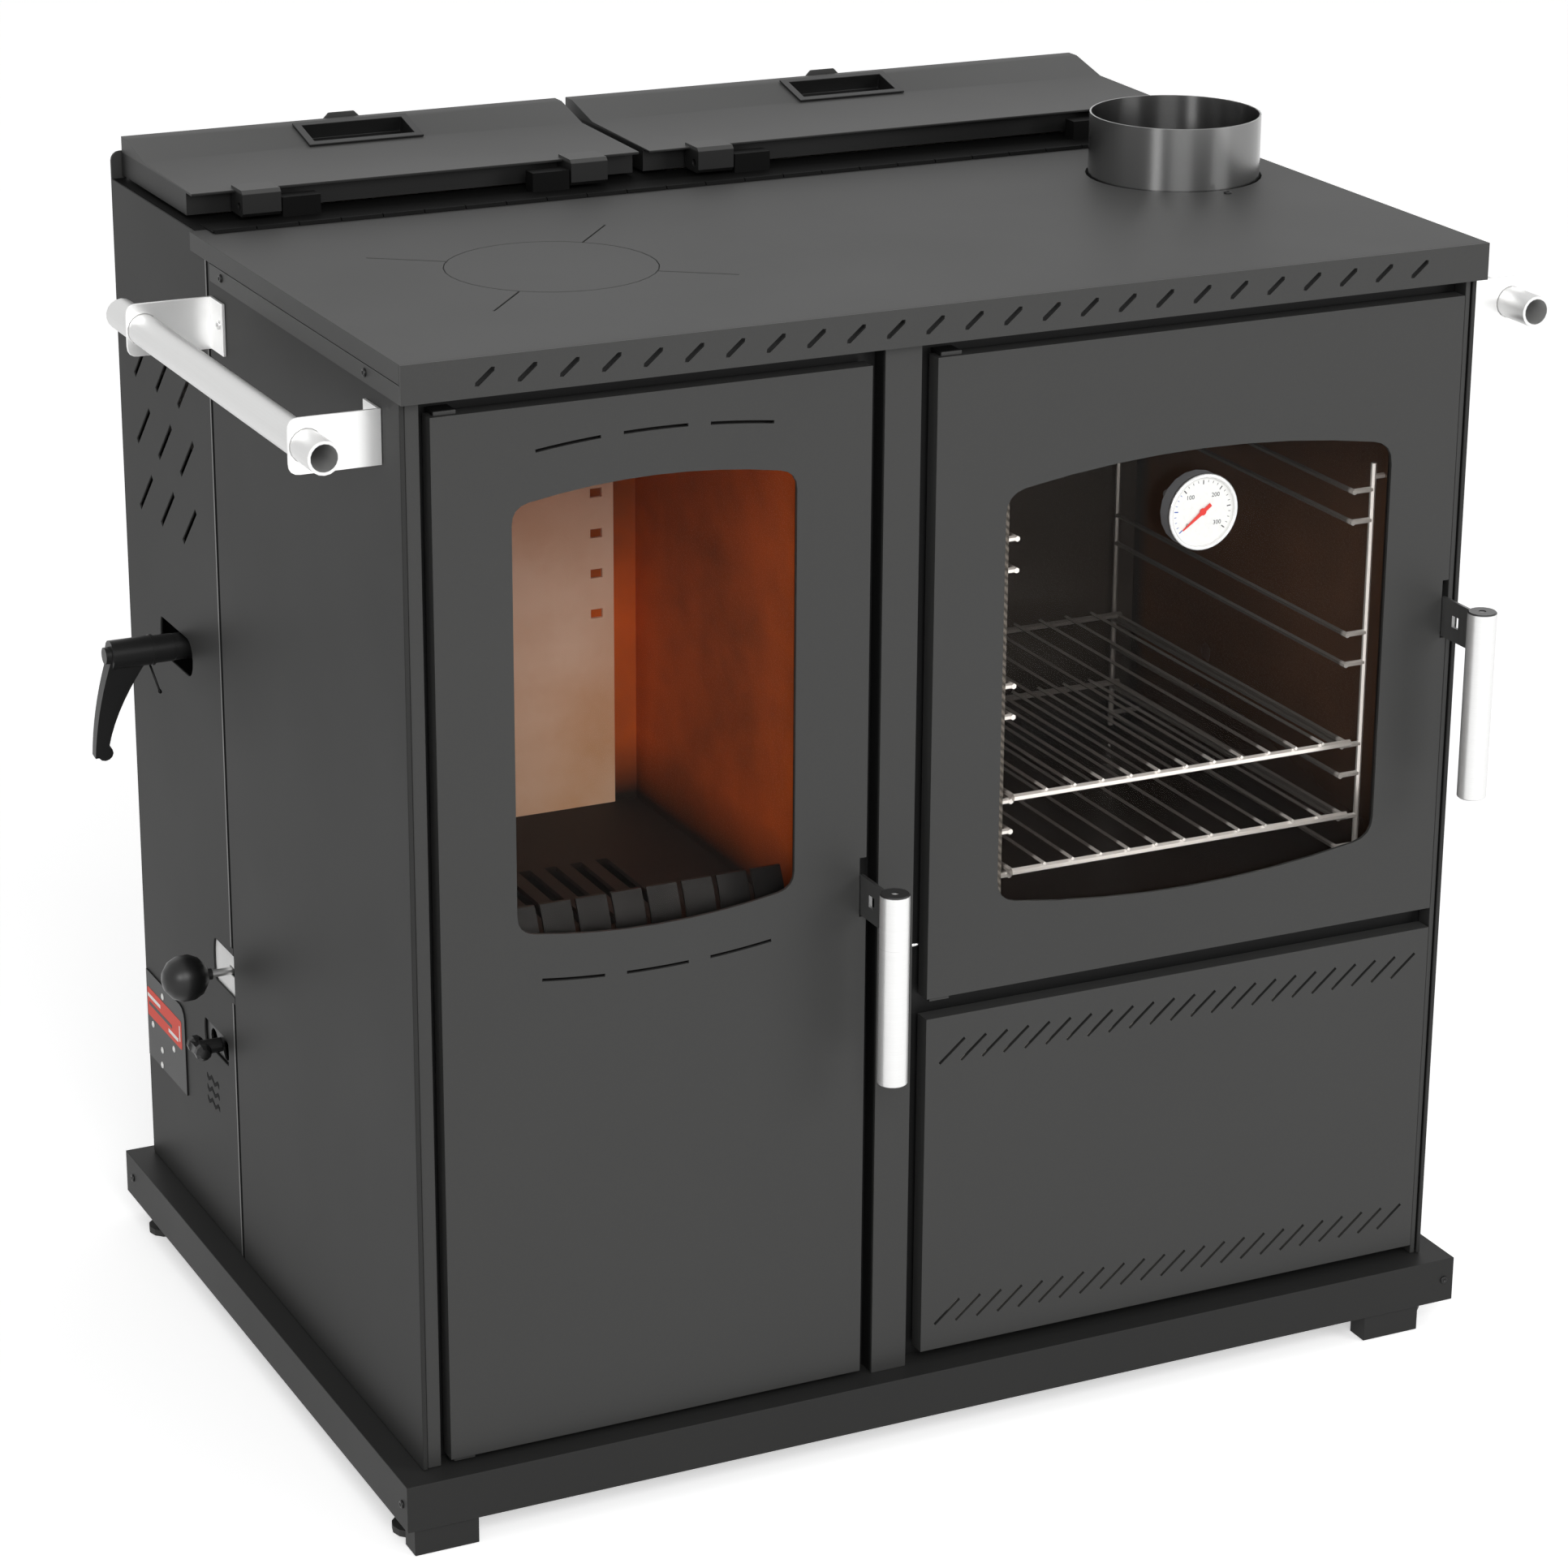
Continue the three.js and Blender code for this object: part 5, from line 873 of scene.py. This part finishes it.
class AddSidePlate(bpy.types.Operator):
    """Plain riveted plate with a coloured field, and three pressed waves, low on the left side"""

    bl_idname = "stove.add_side_plate"
    bl_label = "Add the side plate"

    def execute(self, context):
        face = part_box("side_rear_left")[0].x / MM
        plate_face, field_face, bar_height = face - 1.2, face - 1.5, 0.2
        dark = coated(
            "Side plate", grey(0.01), 0.38, depth=0.02 * MM, shade=0.15, specular_ior_level=0.2,
        )
        field = coated(
            "Plate field", context.scene.stove_fittings.plate_colour, 0.5, shade=0.12,
            specular_ior_level=0.2,
        )
        pale = coated("Rivet", (0.9, 0.9, 0.88), 0.4, pip_scale=500.0)
        pressed = coated("Pressed mark", grey(0.003), 0.6, specular_ior_level=0.05)

        def plate(bm):
            front, back, bottom, top, bend = 596, 703.5, 166, 251, 12
            corner = [
                (front + bend * (1 - math.sin(turn)), top - bend * (1 - math.cos(turn)))
                for turn in (1.57, 1.05, 0.52, 0)
            ]
            outline = [(back, bottom), (front, bottom), *corner, (back, top)]
            raised(bm, outline, face + 0.2, height=1.6)

        def patch(bm):
            back, bottom = 701, 207
            outline = [(back - a, bottom + b) for a, b in rounded_rectangle(96, 28, 2.5)]
            raised(bm, outline, plate_face, height=0.4)

        def pale_bars(bm):
            for edges in ((664, 700, 225.5, 229), (615, 642, 211.5, 215), (609, 611.5, 214, 229)):
                raised(bm, rectangle(*edges), field_face, bar_height)

        def dark_bar(bm):
            raised(bm, rectangle(632, 697, 218, 221.5), field_face, bar_height)

        def rivets(bm):
            dome = millimetres((0, 1.1), (1.9, 0.9), (3.2, 0.3), (3.3, -0.1), (0, -0.1))
            for y, z in ((657, 240), (688, 201), (663.5, 184.6), (629, 199), (665.6, 169)):
                turned(bm, dome, at(face - 1.4, y, z), LEFT, steps=12)

        def waves(bm):
            start, pitch, swell, half_width = 508, 4, 2.4, 1.9
            for z in (209, 198, 187):
                line = [(start + pitch * i, z + swell * math.sin(1.6 * i)) for i in range(9)]
                lower = [(y, level - half_width) for y, level in line]
                upper = [(y, level + half_width) for y, level in reversed(line)]
                raised(bm, lower + upper, face + 0.1, height=0.3)

        new_piece("side_plate", plate, dark, "stove")
        new_piece("side_plate_field", patch, field, "stove")
        new_piece("side_plate_pale_bars", pale_bars, pale, "stove")
        new_piece("side_plate_dark_bar", dark_bar, dark, "stove")
        new_piece("side_plate_rivets", rivets, pale, "stove")
        new_piece("side_waves", waves, pressed, "stove")
        return {"FINISHED"}


class AddControlDetails(bpy.types.Operator):
    """Lever pointer, bright sheet in the shaker hole, column pin, and strips of painted shadow and
    painted highlight on the side seams
    """

    bl_idname = "stove.add_control_details"
    bl_label = "Add the details of the controls"

    def execute(self, context):
        low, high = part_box("side_rear_left")
        face, top = low.x / MM, high.z / MM
        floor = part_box("side_front_left")[0].z / MM
        wire = coated("Pointer wire", grey(0.004), 0.3, specular_ior_level=0.1)
        steel = brushed("Pin steel", 1.0, stretch=NO_GRAIN, roughness=0.25, contrast=0.05)
        sheet = stained(
            "Bright backing sheet", (1.0, 1.0, 0.99), (0.9, 0.9, 0.88), scale=12.0, amount=0.4,
            roughness=0.5,
        )
        seam = coated("Seam shadow strip", grey(0.003), 0.9, specular_ior_level=0.05)
        # Painted highlight: a flat strip in the body colour made three times lighter stands in for
        # the light caught by the rounded fold beside each seam.
        fold_highlight = coated("Painted fold highlight", tinted(context.scene.stove_paint.body_colour, 3), 0.4)

        def pointer(bm):
            start, end = at(-503.5, 573, 591), at(-494.8, 573, 562.8)
            length = (end - start).length / MM
            profile = millimetres(
                (0, 0), (1.0, 0), (1.0, length - 2), (1.6, length - 1.2), (1.9, length + 0.4),
                (1.3, length + 1.7), (0, length + 2.2),
            )
            turned(bm, profile, start, end - start, steps=10)

        def backing(bm):
            front, notch, back = 456, 472.6, 512
            outline = [
                (back, 311), (back, 358), (front, 358), (front, 340), (notch, 340), (notch, 331),
                (front, 331), (front, 311),
            ]
            raised(bm, outline, face + 3.05, height=0.9)

        def pin(bm):
            door_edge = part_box("oven_door_panel")[0].x / MM
            profile = millimetres((0, 0), (1.6, 0), (1.6, 9), (1.0, 9.8), (0, 9.8))
            turned(bm, profile, at(door_edge - 15, 26, 447), RIGHT, steps=10)

        def strips(front, width, height, sunk=0.1):
            """Upright strips on both sides, in two lengths with a gap between them."""
            def maker(bm):
                for side in (LEFT, RIGHT):
                    out = side[0]
                    place = at(out * (abs(face) - sunk), 0, 0)
                    for start, end in ((floor, 308), (361, top - 8)):
                        outline = [
                            (out * y, z) for y, z in rectangle(front, front + width, start, end)
                        ]
                        drawn_out(
                            bm, outline, place, Vector((0, out, 0)) * MM, Vector(UP) * MM,
                            (height + sunk) * MM,
                        )
            return maker

        # The seam strips are painted shadow in the seam gaps, and the fold strips are a painted
        # highlight beside them.
        new_piece("seam_strips", strips(452.2, 6.3, 0.2), seam, "stove")
        new_piece("fold_highlight_strips", strips(458.5, 2.6, 0.3), fold_highlight, "stove")
        new_piece("lever_pointer", pointer, wire, "pellet_gate")
        new_piece("shaker_backing", backing, sheet.material, "stove")
        new_piece("column_pin", pin, steel.material, "stove")
        return {"FINISHED"}


def on_dial(share):
    """Outward and sideways directions of a mark, for a share of the dial's range."""
    first, sweep = 217, 254
    turn = math.radians(first - sweep * share)
    return Vector((math.cos(turn), 0, math.sin(turn))), Vector((-math.sin(turn), 0, math.cos(turn)))


def dial_number(words, place, finish):
    """A plain printed number on the dial, turned into a mesh."""
    name = "dial_number_" + words
    curve = bpy.data.curves.new(name, "FONT")
    curve.body = words
    curve.size = 5.2 * MM
    curve.align_x = "CENTER"
    curve.align_y = "CENTER"
    curve.extrude = 0.04 * MM
    curve.resolution_u = 3
    writing = bpy.data.objects.new(name, curve)
    bpy.context.scene.collection.objects.link(writing)
    writing.location = place + Vector(FRONT) * (0.06 * MM)
    writing.rotation_euler = Euler((math.pi / 2, 0, 0))
    bpy.context.view_layer.update()
    mesh = bpy.data.meshes.new_from_object(writing)
    mesh.transform(writing.matrix_world)
    bpy.data.objects.remove(writing)
    add_piece(name, mesh, finish, "oven_door")


class FaceThermometer(bpy.types.Operator):
    """White dial with ticks and plain numbers, its bezel and the red needle"""

    bl_idname = "stove.face_thermometer"
    bl_label = "Face the thermometer"

    def execute(self, context):
        low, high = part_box("thermometer_case")
        centre = Vector(((low.x + high.x) / 2, low.y, (low.z + high.z) / 2))
        radius = (high.x - low.x) / 2
        face = centre + Vector(BACK) * (2.4 * MM)
        side = (BACK, low.y + 3 * MM, 0.4 * MM, (0.16, 0.16, 0.165))
        white = coated(
            "White dial", (0.82, 0.82, 0.8), 0.45, pip_scale=300.0, shade=0.04, changes=[side],
        )
        steel = brushed(
            "Bezel steel", 1.2, stretch=(300.0, 300.0, 300.0), roughness=0.25, contrast=0.1,
            metallic=0.8,
        )
        red = coated("Needle red", (0.7, 0.03, 0.02), 0.4, pip_scale=600.0)
        black = coated("Dial print", (0.02, 0.02, 0.025), 0.5, pip_scale=600.0)
        blue = coated("Dial print, cold end", (0.03, 0.09, 0.4), 0.5, pip_scale=600.0)
        dress("thermometer_case", white, 0.3 * MM)
        dress("thermometer_pointer", red)

        def bezel(bm):
            rim = radius / MM
            profile = millimetres(
                (rim - 2.9, -2.2), (rim - 2.7, 0.2), (rim - 1.8, 0.7), (rim - 0.6, 0.4),
                (rim + 0.4, -0.6), (rim + 0.4, -3), (rim + 0.1, -3), (rim + 0.1, -0.6),
                (rim - 2.7, -0.1), (rim - 2.9, -2.2),
            )
            turned(bm, profile, centre, FRONT, steps=40)

        def ticks(first, last):
            """Tick marks, of which every fourth one is longer and wider."""
            def maker(bm):
                for i in range(first, last + 1):
                    outward, sideways = on_dial(i / 24)
                    inner, half = (0.72, 0.45 * MM) if i % 4 == 0 else (0.77, 0.22 * MM)
                    outline = rectangle(radius * inner, radius * 0.83, -half, half)
                    drawn_out(bm, outline, face, outward, sideways, 0.08 * MM)
            return maker

        new_piece("thermometer_bezel", bezel, steel.material, "oven_door")
        new_piece("dial_ticks_cold", ticks(0, 7), blue, "oven_door")
        new_piece("dial_ticks", ticks(8, 24), black, "oven_door")
        for share in (0, 1 / 3, 2 / 3, 1):
            words = str(round(context.scene.stove_fittings.dial_top * share))
            dial_number(words, face + on_dial(share)[0] * (radius * 0.55), black)
        return {"FINISHED"}


class SetStage(bpy.types.Operator):
    """Pale floor, soft lights and the camera of the photograph"""

    bl_idname = "stove.set_stage"
    bl_label = "Set the stage"

    def execute(self, context):
        scene = context.scene
        studio = scene.stove_studio
        scene.view_settings.view_transform = "Standard"
        place_camera(scene, studio)
        lay_floor()
        light_world(scene, studio.sky)
        soft_light("Key", (-1.3, -4.4, 3.1), power=studio.key, size=2.4)
        soft_light("Fill", (2.8, -3.6, 2.2), power=studio.key * 0.5, size=2.0)
        strip = soft_light("Strip", (-2.9, -2.4, 2.0), power=studio.key * 0.4, size=0.8)
        strip.visible_diffuse = False
        return {"FINISHED"}


def place_camera(scene, studio):
    a, e, r = studio.azimuth, studio.elevation, studio.roll
    back = Vector((math.sin(a) * math.cos(e), -math.cos(a) * math.cos(e), math.sin(e)))
    right = Vector(UP).cross(back).normalized()
    up = back.cross(right)
    tilted_right = math.cos(r) * right + math.sin(r) * up
    tilted_up = -math.sin(r) * right + math.cos(r) * up
    data = bpy.data.cameras.new("Camera")
    data.lens = studio.lens
    data.sensor_width = 36.0
    camera = bpy.data.objects.new("Camera", data)
    scene.collection.objects.link(camera)
    turn = Matrix((tilted_right, tilted_up, back)).transposed().to_4x4()
    camera.matrix_world = Matrix.Translation(Vector(studio.camera_place)) @ turn
    scene.camera = camera


def seen_white(tree):
    """One for camera, glossy and transmission rays, and nought for the others."""
    path = add_node(tree, "ShaderNodeLightPath").outputs
    seen = math_node(tree, "ADD", path["Is Camera Ray"], path["Is Glossy Ray"])
    return math_node(tree, "ADD", seen, path["Is Transmission Ray"], clamp=True)


def lay_floor():
    """A wide pale floor with a glow that makes it white where it is seen."""
    glow = 0.5
    finish = Finish("Studio floor", roughness=0.9, emission_color=opaque(grey(1.0)))
    tree = finish.tree
    uneven = noise(tree, object_place(tree), 2.0, detail=2.0)
    finish.feed(mix_colour(tree, uneven, opaque(grey(0.9)), opaque(grey(0.92))), "Base Color")
    finish.feed(math_node(tree, "MULTIPLY", seen_white(tree), glow), "Emission Strength")
    bm = bmesh.new()
    bmesh.ops.create_grid(bm, x_segments=1, y_segments=1, size=20)
    mesh = bpy.data.meshes.new("studio_floor")
    bm.to_mesh(mesh)
    bm.free()
    mesh.materials.append(finish.material)
    floor = bpy.data.objects.new("studio_floor", mesh)
    floor.location.z = cad_box[0][2] - 0.5 * MM
    bpy.context.scene.collection.objects.link(floor)


def light_world(scene, strength):
    """Even light from all round, which is white where it is seen."""
    world = bpy.data.worlds.new("Studio")
    world.use_nodes = True
    tree = world.node_tree
    background = tree.nodes["Background"]
    background.inputs["Color"].default_value = opaque(grey(1.0))
    level = math_node(tree, "MULTIPLY", seen_white(tree), 1.0 - strength)
    link(tree, math_node(tree, "ADD", level, strength), background.inputs["Strength"])
    scene.world = world


def soft_light(name, place, power, size):
    """A square lamp that points at the middle of the stove."""
    data = bpy.data.lights.new(name, "AREA")
    data.energy = power
    data.size = size
    lamp = bpy.data.objects.new(name, data)
    bpy.context.scene.collection.objects.link(lamp)
    lamp.location = place
    aim = Vector((0, 0, 0.5)) - Vector(place)
    lamp.rotation_euler = aim.to_track_quat("-Z", "Y").to_euler()
    return lamp


OPERATORS = (
    PaintCasing, FinishBrightwork, FinishChambers, GlazeDoors, FinishMouldings, AddScrews,
    AddSidePlate, AddControlDetails, FaceThermometer, SetStage,
)


class StovePanel(bpy.types.Panel):
    """Lists the steps that dress the stove"""

    bl_idname = "VIEW3D_PT_stove"
    bl_label = "Stove"
    bl_space_type = "VIEW_3D"
    bl_region_type = "UI"
    bl_category = "Stove"

    def draw(self, context):
        for step in OPERATORS:
            self.layout.operator(step.bl_idname)


GROUPS = (
    ("stove_paint", StovePaintSettings),
    ("stove_metal", StoveMetalSettings),
    ("stove_fittings", StoveFittingSettings),
    ("stove_studio", StoveStudioSettings),
)


def register():
    for name, group in GROUPS:
        bpy.utils.register_class(group)
        setattr(bpy.types.Scene, name, PointerProperty(type=group))
    for item in (*OPERATORS, StovePanel):
        bpy.utils.register_class(item)


def unregister():
    for item in (StovePanel, *reversed(OPERATORS)):
        bpy.utils.unregister_class(item)
    for name, group in reversed(GROUPS):
        delattr(bpy.types.Scene, name)
        bpy.utils.unregister_class(group)


def main():
    register()
    steps = bpy.ops.stove
    steps.paint_casing()
    steps.finish_brightwork()
    steps.finish_chambers()
    steps.glaze_doors()
    steps.finish_mouldings()
    steps.add_screws()
    steps.add_side_plate()
    steps.add_control_details()
    steps.face_thermometer()
    steps.set_stage()


if __name__ == "__main__":
    main()
